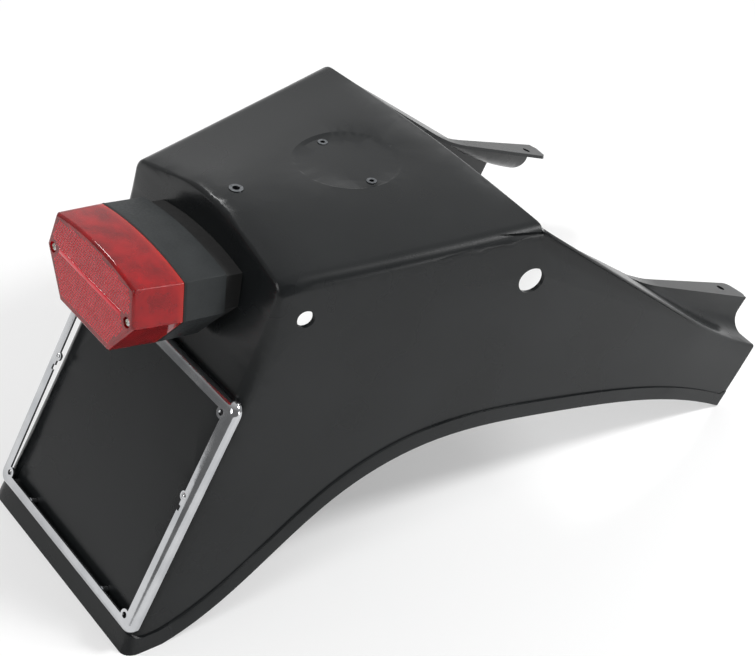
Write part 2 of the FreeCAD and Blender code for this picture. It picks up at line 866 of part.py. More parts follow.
def grown(points, grow):
    """Corners of a polygon whose sides are moved outwards by the same distance."""
    moved = []
    for i, corner in enumerate(points):
        u = (corner - points[i - 1]).normalize()
        v = (points[(i + 1) % len(points)] - corner).normalize()
        out_u = V(u.y, -u.x, 0)
        out_v = V(v.y, -v.x, 0)
        moved.append(corner + (out_u + out_v) * (grow / (1 + out_u.dot(out_v))))
    return moved


def lamp_wire(z, spread, grow):
    """Outline of the lamp at a height: six corners with an arched top."""
    halves = (lens_low_half, lens_mid_half, lens_top_half)
    heights = (lens_low_up, lens_mid_up, lens_top_up)
    right = [V(half + spread, up, z) for half, up in zip(halves, heights)]
    corners = grown(right + [flip(point) for point in reversed(right)], grow)
    top = V(0, corners[2].y + lens_arch, z)
    curves = polyline(corners[:3]) + [Part.Arc(corners[2], top, corners[3])]
    curves += polyline(corners[3:] + corners[:1])
    return Part.Wire([curve.toShape() for curve in curves])


def lamp_block(low, high, spread, grow):
    return Part.makeLoft([lamp_wire(z, spread, grow) for z in (low, high)], True, True)


def bolt_bosses():
    """Bosses on the inside of the panel, square to the lamp's bolts."""
    low = -wall - bolt_boss
    return [on_lamp(boss) for boss in posts(bolt_places, bolt_boss_radius, low, -low)]


def lamp_base_pad():
    pad = lamp_block(-pad_gap, pad_gap, housing_spread, -pad_inset)
    opening = V(0, grommet_up, 0)
    holes = posts(bolt_places, lamp_bolt_radius + clearance, -2 * pad_gap, 2 * pad_gap)
    holes += posts([opening], grommet_radius + grommet_flange / 2, -2 * pad_gap, 2 * pad_gap)
    return on_lamp(pad.cut(holes)).cut(panel_region(0.0))


def lamp_housing():
    body = lamp_block(pad_gap, housing_front, housing_spread, 0.0)
    well = lamp_block(housing_back, reflector_back, housing_spread, -housing_wall - ledge)
    mouth = lamp_block(reflector_back, housing_front + gasket, housing_spread, -housing_wall)
    body = body.cut([well, mouth]).fuse(posts(screw_places, pillar_radius, pad_gap, housing_front))
    holes = posts(screw_places, screw_radius + thread_gap, housing_back, 2 * housing_front)
    holes += posts(bolt_places, lamp_bolt_radius + clearance, 0, housing_front)
    holes += posts([V(0, grommet_up, 0)], grommet_bore_radius + clearance, 0, housing_front)
    return on_lamp(body.cut(holes).removeSplitter())


def lens_gasket():
    ring = lamp_block(housing_front, lens_back, housing_spread, 0.0)
    ring = ring.cut(lamp_block(housing_front - gasket, lens_front, housing_spread, -lens_wall))
    width = screw_head_radius
    bridge_corner = V(-lens_mid_half, screw_up - width / 2, housing_front)
    gap_corner = V(-screw_half, screw_up - width, housing_front)
    bridge = Part.makeBox(2 * lens_mid_half, width, gasket, bridge_corner)
    bridge = bridge.cut(Part.makeBox(2 * screw_half, 2 * width, gasket, gap_corner))
    ring = ring.fuse([bridge] + posts(screw_places, pillar_radius, housing_front, lens_back))
    return on_lamp(ring.cut(posts(screw_places, screw_radius + clearance, 0, lens_front)).removeSplitter())


def window_box(margin, low, high):
    """Box of the plate light window, wider than its opening by a margin, between two heights."""
    depth = lens_depth - 2 * window_margin + 2 * margin
    corner = V(-window_half - margin, lens_low_up + low, lens_back + window_margin - margin)
    return Part.makeBox(2 * window_half + 2 * margin, high - low, depth, corner)


def lamp_lens():
    face_z = lens_front - lens_bevel
    border = lamp_wire(lens_front, 0, -lens_bevel)
    back = lamp_wire(lens_back, housing_spread, 0)
    body = Part.makeLoft([back, lamp_wire(face_z, 0, 0), border], True, True)
    inner_face = lamp_wire(lens_front - lens_wall, 0, -lens_wall)
    hollow = Part.makeLoft([lamp_wire(lens_back, housing_spread, -lens_wall), inner_face], True, True)
    lens = body.cut(hollow)
    pillars = posts(screw_places, pillar_radius, lens_back, lens_front)
    lens = lens.fuse([pillar.common(body) for pillar in pillars])
    holes = posts(screw_places, screw_radius + clearance, 0, 2 * lens_front)
    holes += posts(screw_places, screw_head_radius + clearance, lens_front - screw_head, 2 * lens_front)
    holes.append(window_box(clearance, -lens_wall, 2 * lens_wall))
    return on_lamp(lens.cut(holes).removeSplitter())


def plate_light_window():
    plug = window_box(0.0, -window_drop, lens_wall)
    flange = window_box(window_flange, lens_wall, lens_wall + window_flange)
    return on_lamp(plug.fuse(flange).removeSplitter())


def lens_screws():
    seat = lens_front - screw_head
    length = seat - housing_back - ledge_rise / 2
    screw = dome(screw_head_radius, screw_head)
    screw = screw.fuse(cylinder(V(0, 0, -length), V(0, 0, 1), screw_radius, length))
    return on_lamp(at_each(screw, [place + V(0, 0, seat) for place in screw_places]))


def lamp_reflector():
    sheet = lamp_block(reflector_back, reflector_front, housing_spread, -housing_wall - clearance)
    holes = posts(screw_places, pillar_radius + 2 * clearance, 0, lens_front)
    holes += posts([V(0, 0, 0)], socket_radius + clearance, 0, lens_front)
    return on_lamp(sheet.cut(holes))


socket_foot = reflector_back - socket_drop
insulator_foot = socket_foot + socket_sheet
contact_foot = insulator_foot + insulator
cap_foot = contact_foot + contact_stand
cap_end = cap_foot + bulb_cap_length
contact_places = [V(x * contact_half, 0, 0) for x in (-1, 1)]


def bulb_socket():
    middle = [V(0, 0, 0)]
    inner_radius = socket_radius - socket_sheet
    sleeve = posts(middle, socket_radius, socket_foot, reflector_front + socket_stand)[0]
    flange_end = reflector_front + socket_flange
    sleeve = sleeve.fuse(posts(middle, socket_flange_radius, reflector_front, flange_end))
    holes = posts(middle, inner_radius - socket_sheet, 0, lens_front)
    holes += posts(middle, inner_radius, insulator_foot, lens_front)
    return on_lamp(sleeve.cut(holes).removeSplitter())


def socket_insulator():
    disc = posts([V(0, 0, 0)], socket_radius - socket_sheet - clearance, insulator_foot, contact_foot)[0]
    return on_lamp(disc.cut(posts(contact_places, contact_radius / 2 + clearance, 0, lens_front)))


def socket_contacts():
    heads = posts(contact_places, contact_radius, contact_foot, cap_foot)
    stems = posts(contact_places, contact_radius / 2, socket_foot - socket_sheet, contact_foot)
    contacts = [head.fuse(stem).removeSplitter() for head, stem in zip(heads, stems)]
    return on_lamp(Part.makeCompound(contacts))


def bulb_cap():
    return on_lamp(posts([V(0, 0, 0)], bulb_cap_radius, cap_foot, cap_end)[0])


def bulb_glass():
    """Round bulb on a short neck."""
    belly = cap_end + bulb_length - bulb_radius
    tip = V(0, 0, cap_end + bulb_length)
    side = V(bulb_radius, 0, belly)
    shoulder = V(bulb_radius * math.cos(math.pi / 4), 0, belly + bulb_radius * math.sin(math.pi / 4))
    neck = V(bulb_neck_radius, 0, cap_end)
    waist = V((bulb_neck_radius + 2 * bulb_radius) / 3, 0, (cap_end + belly) / 2)
    profile = [Part.Arc(neck, waist, side), Part.Arc(side, shoulder, tip)]
    profile += polyline([tip, V(0, 0, cap_end), neck])
    return on_lamp(face_of(profile).revolve(V(0, 0, 0), V(0, 0, 1), 360))


boss_end = -wall - bolt_boss


def lamp_bolts():
    end = boss_end - washer - lamp_bolt_radius * nut_share - stud_end
    bolt = hexagon(lamp_bolt_head_radius, lamp_bolt_head)
    length = housing_back - end
    bolt = bolt.fuse(cylinder(V(0, 0, -length), V(0, 0, 1), lamp_bolt_radius, length))
    return on_lamp(at_each(bolt, [place + V(0, 0, housing_back) for place in bolt_places]))


def lamp_washers():
    places = [place + V(0, 0, boss_end - washer) for place in bolt_places]
    return on_lamp(at_each(washer_solid(lamp_bolt_radius), places))


def lamp_nuts():
    depth = boss_end - washer - lamp_bolt_radius * nut_share
    return on_lamp(at_each(nut_solid(lamp_bolt_radius), [place + V(0, 0, depth) for place in bolt_places]))


def grommet_blank(radius):
    low = -wall - grommet_flange
    blank = cylinder(V(0, 0, low), V(0, 0, 1), radius, grommet_flange - low)
    return seated(blank, grommet_base, grommet_axis)


def wiring_grommet(panel):
    """Grommet that takes up the hole of the panel, with a bore for the wires."""
    bore = cylinder(V(0, 0, -beyond), V(0, 0, 1), grommet_bore_radius, 2 * beyond)
    return grommet_blank(grommet_radius).cut([panel, seated(bore, grommet_base, grommet_axis)])


def fender_shell():
    """Shell with the holes and seats of everything that is fixed to it."""
    seat_rear, seat_pair = deck_inserts(lambda radii: insert_seat_tool(radii, insert_depth))
    tools = [seat_rear] + seat_pair + [grommet_blank(grommet_waist_radius)]
    bolt_holes = posts(bolt_places, lamp_bolt_radius + clearance, -pad_gap - wall, pad_gap)
    stud_holes = posts(stud_places, stud_radius + clearance, -2 * wall, wall)
    tools += [on_lamp(hole) for hole in bolt_holes] + [on_plate_face(hole) for hole in stud_holes]
    return moulded_shell().cut(tools)


shell = fender_shell()
insert_rear, insert_pair = deck_inserts(lambda radii: insert_solid(radii, insert_depth))
pieces = {
    "fender_shell": shell,
    "plate_frame": plate_frame(),
    "frame_pins": frame_pins(),
    "frame_washers": frame_washers(),
    "frame_nuts": frame_nuts(),
    "lamp_base_pad": lamp_base_pad(),
    "lamp_housing": lamp_housing(),
    "lens_gasket": lens_gasket(),
    "lamp_lens": lamp_lens(),
    "plate_light_window": plate_light_window(),
    "lens_screws": lens_screws(),
    "lamp_reflector": lamp_reflector(),
    "bulb_socket": bulb_socket(),
    "socket_insulator": socket_insulator(),
    "socket_contacts": socket_contacts(),
    "bulb_cap": bulb_cap(),
    "bulb_glass": bulb_glass(),
    "lamp_bolts": lamp_bolts(),
    "lamp_washers": lamp_washers(),
    "lamp_nuts": lamp_nuts(),
    "wiring_grommet": wiring_grommet(shell),
    "deck_insert": insert_rear,
    "recess_inserts": Part.makeCompound(insert_pair),
}

bounds = shell.optimalBoundingBox(True, False)
middle = V(-bounds.Center.x, -bounds.Center.y, -bounds.ZMin)
os.makedirs("parts", exist_ok=True)
for name, piece in pieces.items():
    piece.translate(middle)
    piece.exportStep("parts/" + name + ".step")
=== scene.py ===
"""Looks of a motorcycle rear fender with its tail lamp and plate frame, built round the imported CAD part."""
import math

import bmesh
import bpy
import numpy as np
from mathutils import Matrix, Vector


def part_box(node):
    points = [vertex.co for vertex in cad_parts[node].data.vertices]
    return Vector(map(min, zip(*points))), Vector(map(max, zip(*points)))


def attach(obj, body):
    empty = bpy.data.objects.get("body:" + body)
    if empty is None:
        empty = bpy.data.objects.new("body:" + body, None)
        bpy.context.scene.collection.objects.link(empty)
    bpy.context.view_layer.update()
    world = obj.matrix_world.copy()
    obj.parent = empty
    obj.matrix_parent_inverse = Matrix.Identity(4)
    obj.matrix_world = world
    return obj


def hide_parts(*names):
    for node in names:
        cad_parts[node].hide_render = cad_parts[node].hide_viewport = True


bl_info = {
    "name": "Rear fender looks",
    "version": (1, 0, 0),
    "blender": (4, 5, 0),
    "location": "3D View > Sidebar > Fender",
    "description": "Dresses the rear fender, its tail lamp and its plate frame",
    "category": "Object",
}

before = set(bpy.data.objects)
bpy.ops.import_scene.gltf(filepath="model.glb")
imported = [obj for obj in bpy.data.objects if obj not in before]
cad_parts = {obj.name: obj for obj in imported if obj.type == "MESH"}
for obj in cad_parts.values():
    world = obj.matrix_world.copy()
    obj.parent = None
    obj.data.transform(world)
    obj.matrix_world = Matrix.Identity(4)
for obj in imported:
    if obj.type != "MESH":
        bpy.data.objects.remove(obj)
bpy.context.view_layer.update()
BODY = "root"
MM = 0.001

# The lamp's own frame: UP runs along the height of its face and OUT points to the rear
LAMP_TURN = math.radians(75.0)
LAMP_ACROSS = Vector((1.0, 0.0, 0.0))
LAMP_UP = Vector((0.0, math.cos(LAMP_TURN), math.sin(LAMP_TURN)))
LAMP_OUT = Vector((0.0, -math.sin(LAMP_TURN), math.cos(LAMP_TURN)))
LAMP_EULER = (LAMP_TURN, 0.0, 0.0)


def reach(node, direction):
    """Lowest and highest place of a CAD node along a direction."""
    along = [vertex.co.dot(direction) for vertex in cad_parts[node].data.vertices]
    return min(along), max(along)


# The lens, its two screws and the rib between them, along the lamp's directions
LENS_BACK, LENS_FRONT = reach("lamp_lens", LAMP_OUT)
LENS_FOOT, LENS_TOP = reach("lamp_lens", LAMP_UP)
HEAD_RADIUS = 3.4 * MM
HEAD_RISE = 2.0 * MM
SCREW_UP = sum(reach("lens_screws", LAMP_UP)) / 2
SCREW_HALF = reach("lens_screws", LAMP_ACROSS)[1] - HEAD_RADIUS
SCREW_ROOM = 6.0 * MM
RIB_UP = SCREW_UP + 2.0 * MM
RIB_HALF = 38.0 * MM

# The deck from its rear to its front edge, and the folds that join it to the walls
DECK_REAR = -133.0 * MM
DECK_FRONT = 50.3 * MM
DECK_LOWEST = 200.0 * MM
FOLD_RADIUS = 12.0 * MM
FOLD_REAR_HALF = 84.6 * MM
FOLD_FRONT_HALF = 125.0 * MM

# The round sink in the deck
SINK_Y = sum(corner.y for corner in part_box("recess_inserts")) / 2
SINK_RADIUS = 36.5 * MM
SINK_EDGE = 4.5 * MM

# The lip along the wheel arch
LIP_EDGE = 1.1 * MM
LIP_LOW = 15.0 * MM
LIP_HIGH = 130.0 * MM
LIP_FRONT = 200.0 * MM

# Edges that turn more than these stay sharp
MOULDING_CREASE = math.radians(28.0)
LENS_CREASE = math.radians(24.0)
WINDOW_CREASE = math.radians(20.0)
SMALL_CREASE = math.radians(35.0)
MADE_CREASE = math.radians(40.0)

# Powers of the two directions in the terms of a fitted surface
POWERS = ((0, 0), (1, 0), (0, 1), (1, 1), (2, 0))

# Softboxes: name, place, aim, width and power
SOFTBOXES = (
    ("left_softbox", (-1.08, 0.0, 1.5), (0.0, 0.0, 0.12), 0.4, 9.0),
    ("rear_softbox", (0.2, -1.7, 1.2), (0.0, -0.2, 0.15), 0.8, 8.0),
    ("front_softbox", (0.86, 1.05, 1.38), (0.0, 0.0, 0.12), 0.4, 24.0),
    ("right_softbox", (1.6, 0.6, 0.4), (0.0, 0.0, 0.1), 0.6, 5.0),
)
FLOOR_HALF = 6.0

# Camera: place, angle round the part from straight behind, angle above it, roll and focal length in mm
CAMERA_PLACE = (0.7211, -0.5479, 0.8772)
CAMERA_AZIMUTH = math.radians(52.4)
CAMERA_ELEVATION = math.radians(41.2)
CAMERA_ROLL = math.radians(0.8)
CAMERA_LENS = 77.77


def linear(code):
    """Linear colour with alpha of an sRGB hex code."""
    parts = [int(code[i:i + 2], 16) / 255 for i in (1, 3, 5)]
    return tuple(c / 12.92 if c <= 0.04045 else ((c + 0.055) / 1.055) ** 2.4 for c in parts) + (1.0,)


class FenderColours(bpy.types.PropertyGroup):
    """Colours of the pieces and the floor"""
    shell: bpy.props.FloatVectorProperty(
        name="Shell", description="Charcoal of the moulded shell",
        subtype="COLOR", size=4, min=0.0, max=1.0, default=linear("#1c1e1f"))
    shell_dark: bpy.props.FloatVectorProperty(
        name="Shell, darker", description="Darker cloudiness of the moulded shell",
        subtype="COLOR", size=4, min=0.0, max=1.0, default=linear("#161819"))
    lens: bpy.props.FloatVectorProperty(
        name="Lens", description="Red of the lens",
        subtype="COLOR", size=4, min=0.0, max=1.0, default=linear("#d00c18"))
    # Painted reflection: the prisms' red is painted paler for the light that they throw back
    prisms: bpy.props.FloatVectorProperty(
        name="Lens prisms", description="Paler red of the prisms on the lens face",
        subtype="COLOR", size=4, min=0.0, max=1.0, default=linear("#f03a48"))
    # Painted glow: a paler orange red painted on the lens near its joint with the housing, in place of light
    # gathered there
    lens_edge: bpy.props.FloatVectorProperty(
        name="Lens at its joint", description="Glow of the lens where it meets the housing",
        subtype="COLOR", size=4, min=0.0, max=1.0, default=linear("#f0301e"))
    housing: bpy.props.FloatVectorProperty(
        name="Lamp housing", description="Dark grey of the lamp housing",
        subtype="COLOR", size=4, min=0.0, max=1.0, default=linear("#2a2d2e"))
    floor: bpy.props.FloatVectorProperty(
        name="Floor", description="Pale floor",
        subtype="COLOR", size=4, min=0.0, max=1.0, default=linear("#f6f6f6"))


class FenderSizes(bpy.types.PropertyGroup):
    """Sizes of the fine shapes and of the grain"""
    grain: bpy.props.FloatProperty(
        name="Shell grain", description="Width of the grain of the moulded shell",
        unit="LENGTH", default=1.3 * MM)
    prism_pitch: bpy.props.FloatProperty(
        name="Prism pitch", description="Distance between the prisms of the lens face",
        unit="LENGTH", default=2.3 * MM)
    prism_rise: bpy.props.FloatProperty(
        name="Prism rise", description="Height of a prism above the lens face",
        unit="LENGTH", default=0.35 * MM)
    rib_width: bpy.props.FloatProperty(
        name="Lens rib", description="Width of the smooth rib across the lens face",
        unit="LENGTH", default=3.6 * MM)
    lens_edge: bpy.props.FloatProperty(
        name="Lamp edges", description="Width of the broken edges of lens and housing",
        unit="LENGTH", default=0.6 * MM)
    rib_rise: bpy.props.FloatProperty(
        name="Lens rib rise", description="Height of the smooth rib above the lens face",
        unit="LENGTH", default=0.8 * MM)
    flute_pitch: bpy.props.FloatProperty(
        name="Flute pitch", description="Distance between the flutes of the plate light window",
        unit="LENGTH", default=2.5 * MM)
    recess_width: bpy.props.FloatProperty(
        name="Cross recess", description="Width of a slot of the screws' cross recess",
        unit="LENGTH", default=1.0 * MM)


def add_node(tree, kind, inputs=(), **settings):
    """A node with its settings; each input is a value or another node's output socket."""
    new = tree.nodes.new(kind)
    for key, value in settings.items():
        setattr(new, key, value)
    for key, value in dict(inputs).items():
        if isinstance(value, bpy.types.NodeSocket):
            tree.links.new(value, new.inputs[key])
        else:
            new.inputs[key].default_value = value
    return new


def new_material(name):
    """An empty node material and its tree."""
    material = bpy.data.materials.new(name)
    material.use_nodes = True
    material.node_tree.nodes.clear()
    return material, material.node_tree


def object_place(tree, turn=(0.0, 0.0, 0.0)):
    """Object coordinates in metres, turned about the axes."""
    place = add_node(tree, "ShaderNodeTexCoord")
    values = {"Vector": place.outputs["Object"], "Rotation": turn}
    return add_node(tree, "ShaderNodeMapping", values).outputs[0]


def noise(tree, place, width, detail):
    """Cloudy pattern whose spots are about as wide as given, in metres."""
    values = {"Vector": place, "Scale": 1.0 / width, "Detail": detail}
    return add_node(tree, "ShaderNodeTexNoise", values).outputs["Fac"]


def spread(tree, value, low, high, start=0.3, end=0.7):
    """A pattern's value taken from start..end to low..high."""
    values = {"Value": value, "From Min": start, "From Max": end, "To Min": low, "To Max": high}
    return add_node(tree, "ShaderNodeMapRange", values).outputs[0]


def blend_colours(tree, factor, first, second):
    """Colour between two, by a factor from 0 to 1."""
    mix = add_node(tree, "ShaderNodeMix", data_type="RGBA")
    for socket, value in ((mix.inputs[0], factor), (mix.inputs[6], first), (mix.inputs[7], second)):
        if isinstance(value, bpy.types.NodeSocket):
            tree.links.new(value, socket)
        else:
            socket.default_value = value
    return mix.outputs[2]


def relief(tree, height, depth):
    """Fine relief of a pattern, as deep as given in metres."""
    values = {"Height": height, "Distance": depth, "Strength": 1.0}
    return add_node(tree, "ShaderNodeBump", values).outputs[0]


def surface(tree, **values):
    """Principled surface with its output; underscores in the names stand for spaces."""
    inputs = {key.replace("_", " "): value for key, value in values.items()}
    shader = add_node(tree, "ShaderNodeBsdfPrincipled", inputs)
    add_node(tree, "ShaderNodeOutputMaterial", {"Surface": shader.outputs[0]})


def moulded_charcoal_abs(colours, sizes):
    """Satin ABS from a finely etched mould: soft wide highlights, a fine even grain, faint clouds."""
    material, tree = new_material("moulded_charcoal_abs")
    place = object_place(tree)
    clouds = noise(tree, place, 70 * MM, 3.0)
    grain = noise(tree, place, sizes.grain, 4.0)
    cloudy = spread(tree, clouds, 0.0, 1.0)
    colour = blend_colours(tree, cloudy, tuple(colours.shell_dark), tuple(colours.shell))
    # Etched grain is about 0.3 mm wide; it is drawn coarser so that it shows
    surface(tree, Base_Color=colour, Roughness=spread(tree, clouds, 0.26, 0.3), IOR=1.53,
            Specular_IOR_Level=0.27, Normal=relief(tree, grain, 0.04 * MM))
    return material


def bright_chrome_plate():
    """Chrome plate on pressed steel: mirror bright, with the faint ripple of polished sheet."""
    material, tree = new_material("bright_chrome_plate")
    place = object_place(tree)
    ripple = noise(tree, place, 9 * MM, 2.0)
    haze = noise(tree, place, 22 * MM, 3.0)
    colour = blend_colours(tree, spread(tree, haze, 0.0, 1.0), linear("#b6b8bb"), linear("#cbccce"))
    surface(tree, Base_Color=colour, Metallic=1.0, Roughness=spread(tree, haze, 0.05, 0.12),
            Normal=relief(tree, ripple, 0.03 * MM))
    return material


def moulded_red_acrylic(colours):
    """Clear red acrylic: glossy skin, deep red body, with a painted glow of paler orange red near the joint
    in place of light gathered there.
    """
    material, tree = new_material("moulded_red_acrylic")
    place = object_place(tree, (-LAMP_TURN, 0.0, 0.0))
    depth = add_node(tree, "ShaderNodeSeparateXYZ", {"Vector": place}).outputs["Z"]
    clouds = noise(tree, place, 14 * MM, 2.0)
    # Painted glow: the colour turns to the paler joint red within this reach of the lens's back, where it
    # meets the housing
    glow_reach = 5 * MM
    painted_glow = spread(tree, depth, 0.8, 0.0, LENS_BACK, LENS_BACK + glow_reach)
    deep = blend_colours(tree, spread(tree, clouds, 0.0, 1.0), linear("#a00914"), tuple(colours.lens))
    colour = blend_colours(tree, painted_glow, deep, tuple(colours.lens_edge))
    surface(tree, Base_Color=colour, Roughness=spread(tree, clouds, 0.04, 0.08), IOR=1.49,
            Transmission_Weight=0.6, Specular_IOR_Level=0.35, Normal=relief(tree, clouds, 0.05 * MM))
    return material


def prismed_red_acrylic(colours):
    """Red acrylic in small prisms, hardly clear: they throw the light back, and a paler red is painted in for
    that light.
    """
    material, tree = new_material("prismed_red_acrylic")
    place = object_place(tree, (-LAMP_TURN, 0.0, 0.0))
    clouds = noise(tree, place, 10 * MM, 3.0)
    sparkle = noise(tree, place, 1.2 * MM, 2.0)
    # Painted reflection: the paler red stands in for light thrown back by the prisms; the clouds vary it at
    # random
    colour = blend_colours(tree, spread(tree, clouds, 0.0, 1.0), linear("#d81a28"), tuple(colours.prisms))
    surface(tree, Base_Color=colour, Roughness=spread(tree, sparkle, 0.06, 0.2), IOR=1.49,
            Transmission_Weight=0.12, Normal=relief(tree, sparkle, 0.04 * MM))
    return material


def moulded_clear_acrylic():
    """Clear acrylic with fine moulded streaks; their white lines, where they catch the light, are a painted
    highlight in the colour.
    """
    material, tree = new_material("moulded_clear_acrylic")
    place = object_place(tree)
    streaks = noise(tree, place, 3 * MM, 4.0)
    # Painted highlight: the streaks are painted whiter where they would catch the light; bump and roughness
    # follow the same streaks
    colour = blend_colours(tree, spread(tree, streaks, 0.0, 1.0), linear("#d8dadc"), linear("#f6f7f8"))
    surface(tree, Base_Color=colour, Roughness=spread(tree, streaks, 0.08, 0.2), IOR=1.49,
            Transmission_Weight=0.6, Normal=relief(tree, streaks, 0.1 * MM))
    return material


def moulded_grey_nylon(colours):
    """Glass filled nylon: dark grey, satin, with a mottled grain from the fibres."""
    material, tree = new_material("moulded_grey_nylon")
    place = object_place(tree)
    grain = noise(tree, place, 1.6 * MM, 5.0)
    clouds = noise(tree, place, 18 * MM, 3.0)
    colour = blend_colours(tree, spread(tree, clouds, 0.0, 1.0), linear("#222526"), tuple(colours.housing))
    surface(tree, Base_Color=colour, Roughness=spread(tree, grain, 0.42, 0.55), IOR=1.53,
            Specular_IOR_Level=0.25, Normal=relief(tree, grain, 0.08 * MM))
    return material


def moulded_black_rubber():
    """Moulded nitrile rubber: nearly black and matt, with a dusty bloom."""
    material, tree = new_material("moulded_black_rubber")
    place = object_place(tree)
    bloom = noise(tree, place, 6 * MM, 4.0)
    grain = noise(tree, place, 0.9 * MM, 3.0)
    colour = blend_colours(tree, spread(tree, bloom, 0.0, 1.0), linear("#0e0e0e"), linear("#181818"))
    surface(tree, Base_Color=colour, Roughness=spread(tree, bloom, 0.7, 0.85), IOR=1.52,
            Normal=relief(tree, grain, 0.06 * MM))
    return material


def bright_zinc_plate():
    """Bright zinc on steel: silver with a faint blue and straw tint and fine turning marks."""
    material, tree = new_material("bright_zinc_plate")
    place = object_place(tree)
    tint = noise(tree, place, 4 * MM, 2.0)
    marks = noise(tree, place, 0.8 * MM, 3.0)
    colour = blend_colours(tree, spread(tree, tint, 0.0, 1.0), linear("#c3c6cc"), linear("#d6d3c6"))
    surface(tree, Base_Color=colour, Metallic=1.0, Roughness=spread(tree, marks, 0.18, 0.32),
            Normal=relief(tree, marks, 0.02 * MM))
    return material


def dull_zinc_plate():
    """Zinc plate coloured darker grey than the bright zinc: dark grey metal that only glints at its edges."""
    material, tree = new_material("dull_zinc_plate")
    place = object_place(tree)
    stains = noise(tree, place, 2 * MM, 3.0)
    colour = blend_colours(tree, spread(tree, stains, 0.0, 1.0), linear("#5c5f62"), linear("#8d9093"))
    surface(tree, Base_Color=colour, Metallic=1.0, Roughness=spread(tree, stains, 0.25, 0.4),
            Normal=relief(tree, stains, 0.02 * MM))
    return material


def polished_aluminium_sheet():
    """Polished aluminium: pale mirror with long rolling lines."""
    material, tree = new_material("polished_aluminium_sheet")
    place = object_place(tree)
    lines = noise(tree, place, 2 * MM, 3.0)
    colour = blend_colours(tree, spread(tree, lines, 0.0, 1.0), linear("#d2d4d6"), linear("#ececec"))
    surface(tree, Base_Color=colour, Metallic=1.0, Roughness=spread(tree, lines, 0.1, 0.2),
            Normal=relief(tree, lines, 0.02 * MM))
    return material


def pressed_brass():
    """Pressed brass: yellow metal, lightly dulled in patches."""
    material, tree = new_material("pressed_brass")
    place = object_place(tree)
    patches = noise(tree, place, 4 * MM, 3.0)
    colour = blend_colours(tree, spread(tree, patches, 0.0, 1.0), linear("#a07a35"), linear("#c9a45a"))
    surface(tree, Base_Color=colour, Metallic=1.0, Roughness=spread(tree, patches, 0.25, 0.4),
            Normal=relief(tree, patches, 0.02 * MM))
    return material


def phenolic_board():
    """Phenolic board: brown, layered, faintly fibrous."""
    material, tree = new_material("phenolic_board")
    place = object_place(tree)
    fibres = noise(tree, place, 1.2 * MM, 4.0)
    colour = blend_colours(tree, spread(tree, fibres, 0.0, 1.0), linear("#5a3018"), linear("#7a4826"))
    surface(tree, Base_Color=colour, Roughness=spread(tree, fibres, 0.5, 0.65), IOR=1.6,
            Normal=relief(tree, fibres, 0.03 * MM))
    return material


def blown_bulb_glass():
    """Blown glass of a small bulb: clear, with faint waves."""
    material, tree = new_material("blown_bulb_glass")
    place = object_place(tree)
    waves = noise(tree, place, 5 * MM, 2.0)
    colour = blend_colours(tree, spread(tree, waves, 0.0, 1.0), linear("#f2f2f0"), linear("#ffffff"))
    surface(tree, Base_Color=colour, Roughness=spread(tree, waves, 0.0, 0.04), IOR=1.5,
            Transmission_Weight=1.0, Normal=relief(tree, waves, 0.02 * MM))
    return material


def finish(name, maker):
    """A material by its name, made on first use."""
    return bpy.data.materials.get(name) or maker()


def link(name, mesh, slot, *nodes):
    """Puts a finished mesh in the scene as a piece that stands for CAD nodes."""
    piece = bpy.data.objects.new(name, mesh)
    bpy.context.scene.collection.objects.link(piece)
    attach(piece, BODY)
    if nodes:
        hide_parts(*nodes)


def crease_edges(joined, crease):
    """Marks as sharp the edges that turn more than the crease."""
    for edge in joined.edges:
        edge.smooth = edge.is_manifold and edge.calc_face_angle(0.0) < crease


def joined_triangles(node, crease):
    """Triangles of a CAD node joined in one mesh, with the sharp edges marked."""
    joined = bmesh.new()
    joined.from_mesh(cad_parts[node].data)
    bmesh.ops.remove_doubles(joined, verts=joined.verts, dist=0.002 * MM)
    bmesh.ops.dissolve_degenerate(joined, edges=joined.edges, dist=0.001 * MM)
    for face in joined.faces:
        face.smooth = True
        face.material_index = 0
    crease_edges(joined, crease)
    return joined


def finished_mesh(joined, name, material):
    """Blender mesh of joined triangles, with its material."""
    mesh = bpy.data.meshes.new(name)
    joined.to_mesh(mesh)
    joined.free()
    mesh.materials.append(material)
    return mesh


def near_screw(point, radius):
    """True if a point of the lens face, across and up, lies within a radius of a screw."""
    return math.hypot(abs(point[0]) - SCREW_HALF, point[1] - SCREW_UP) < radius


def by_screw(edge):
    """True on an edge that ends at the well of a lens screw."""
    return any(near_screw((vertex.co.x, vertex.co.dot(LAMP_UP)), SCREW_ROOM) for vertex in edge.verts)


def smooth_copy(node, name, crease, material, bevel=0.0):
    """Mesh of a CAD node with its rounded faces shaded smooth and its sharp edges broken by a bevel."""
    joined = joined_triangles(node, crease)
    if bevel:
        flat = math.radians(0.5)
        free = [edge for edge in joined.edges if not by_screw(edge)]
        bmesh.ops.dissolve_limit(joined, angle_limit=flat, verts=[], edges=free)
        edges = [edge for edge in joined.edges
                 if edge.is_convex and edge.calc_face_angle(0.0) > crease and not by_screw(edge)]
        bmesh.ops.bevel(joined, geom=edges, offset=bevel, segments=2, profile=0.5, affect="EDGES",
                        clamp_overlap=False)
        bmesh.ops.triangulate(joined, faces=joined.faces)
        crease_edges(joined, crease)
    mesh = finished_mesh(joined, name, material)
    for face in mesh.polygons:
        face.use_smooth = True
    holder = bpy.data.objects.new(name + "_holder", mesh)
    bpy.context.scene.collection.objects.link(holder)
    weigh = holder.modifiers.new("weigh", "WEIGHTED_NORMAL")
    weigh.keep_sharp = True
    weigh.mode = "FACE_AREA_WITH_ANGLE"
    return plain_mesh(holder, name)


def split_wide_faces(joined):
    """Splits the faces of a mesh that have more than three sides into triangles."""
    bmesh.ops.triangulate(joined, faces=[face for face in joined.faces if len(face.verts) > 3])


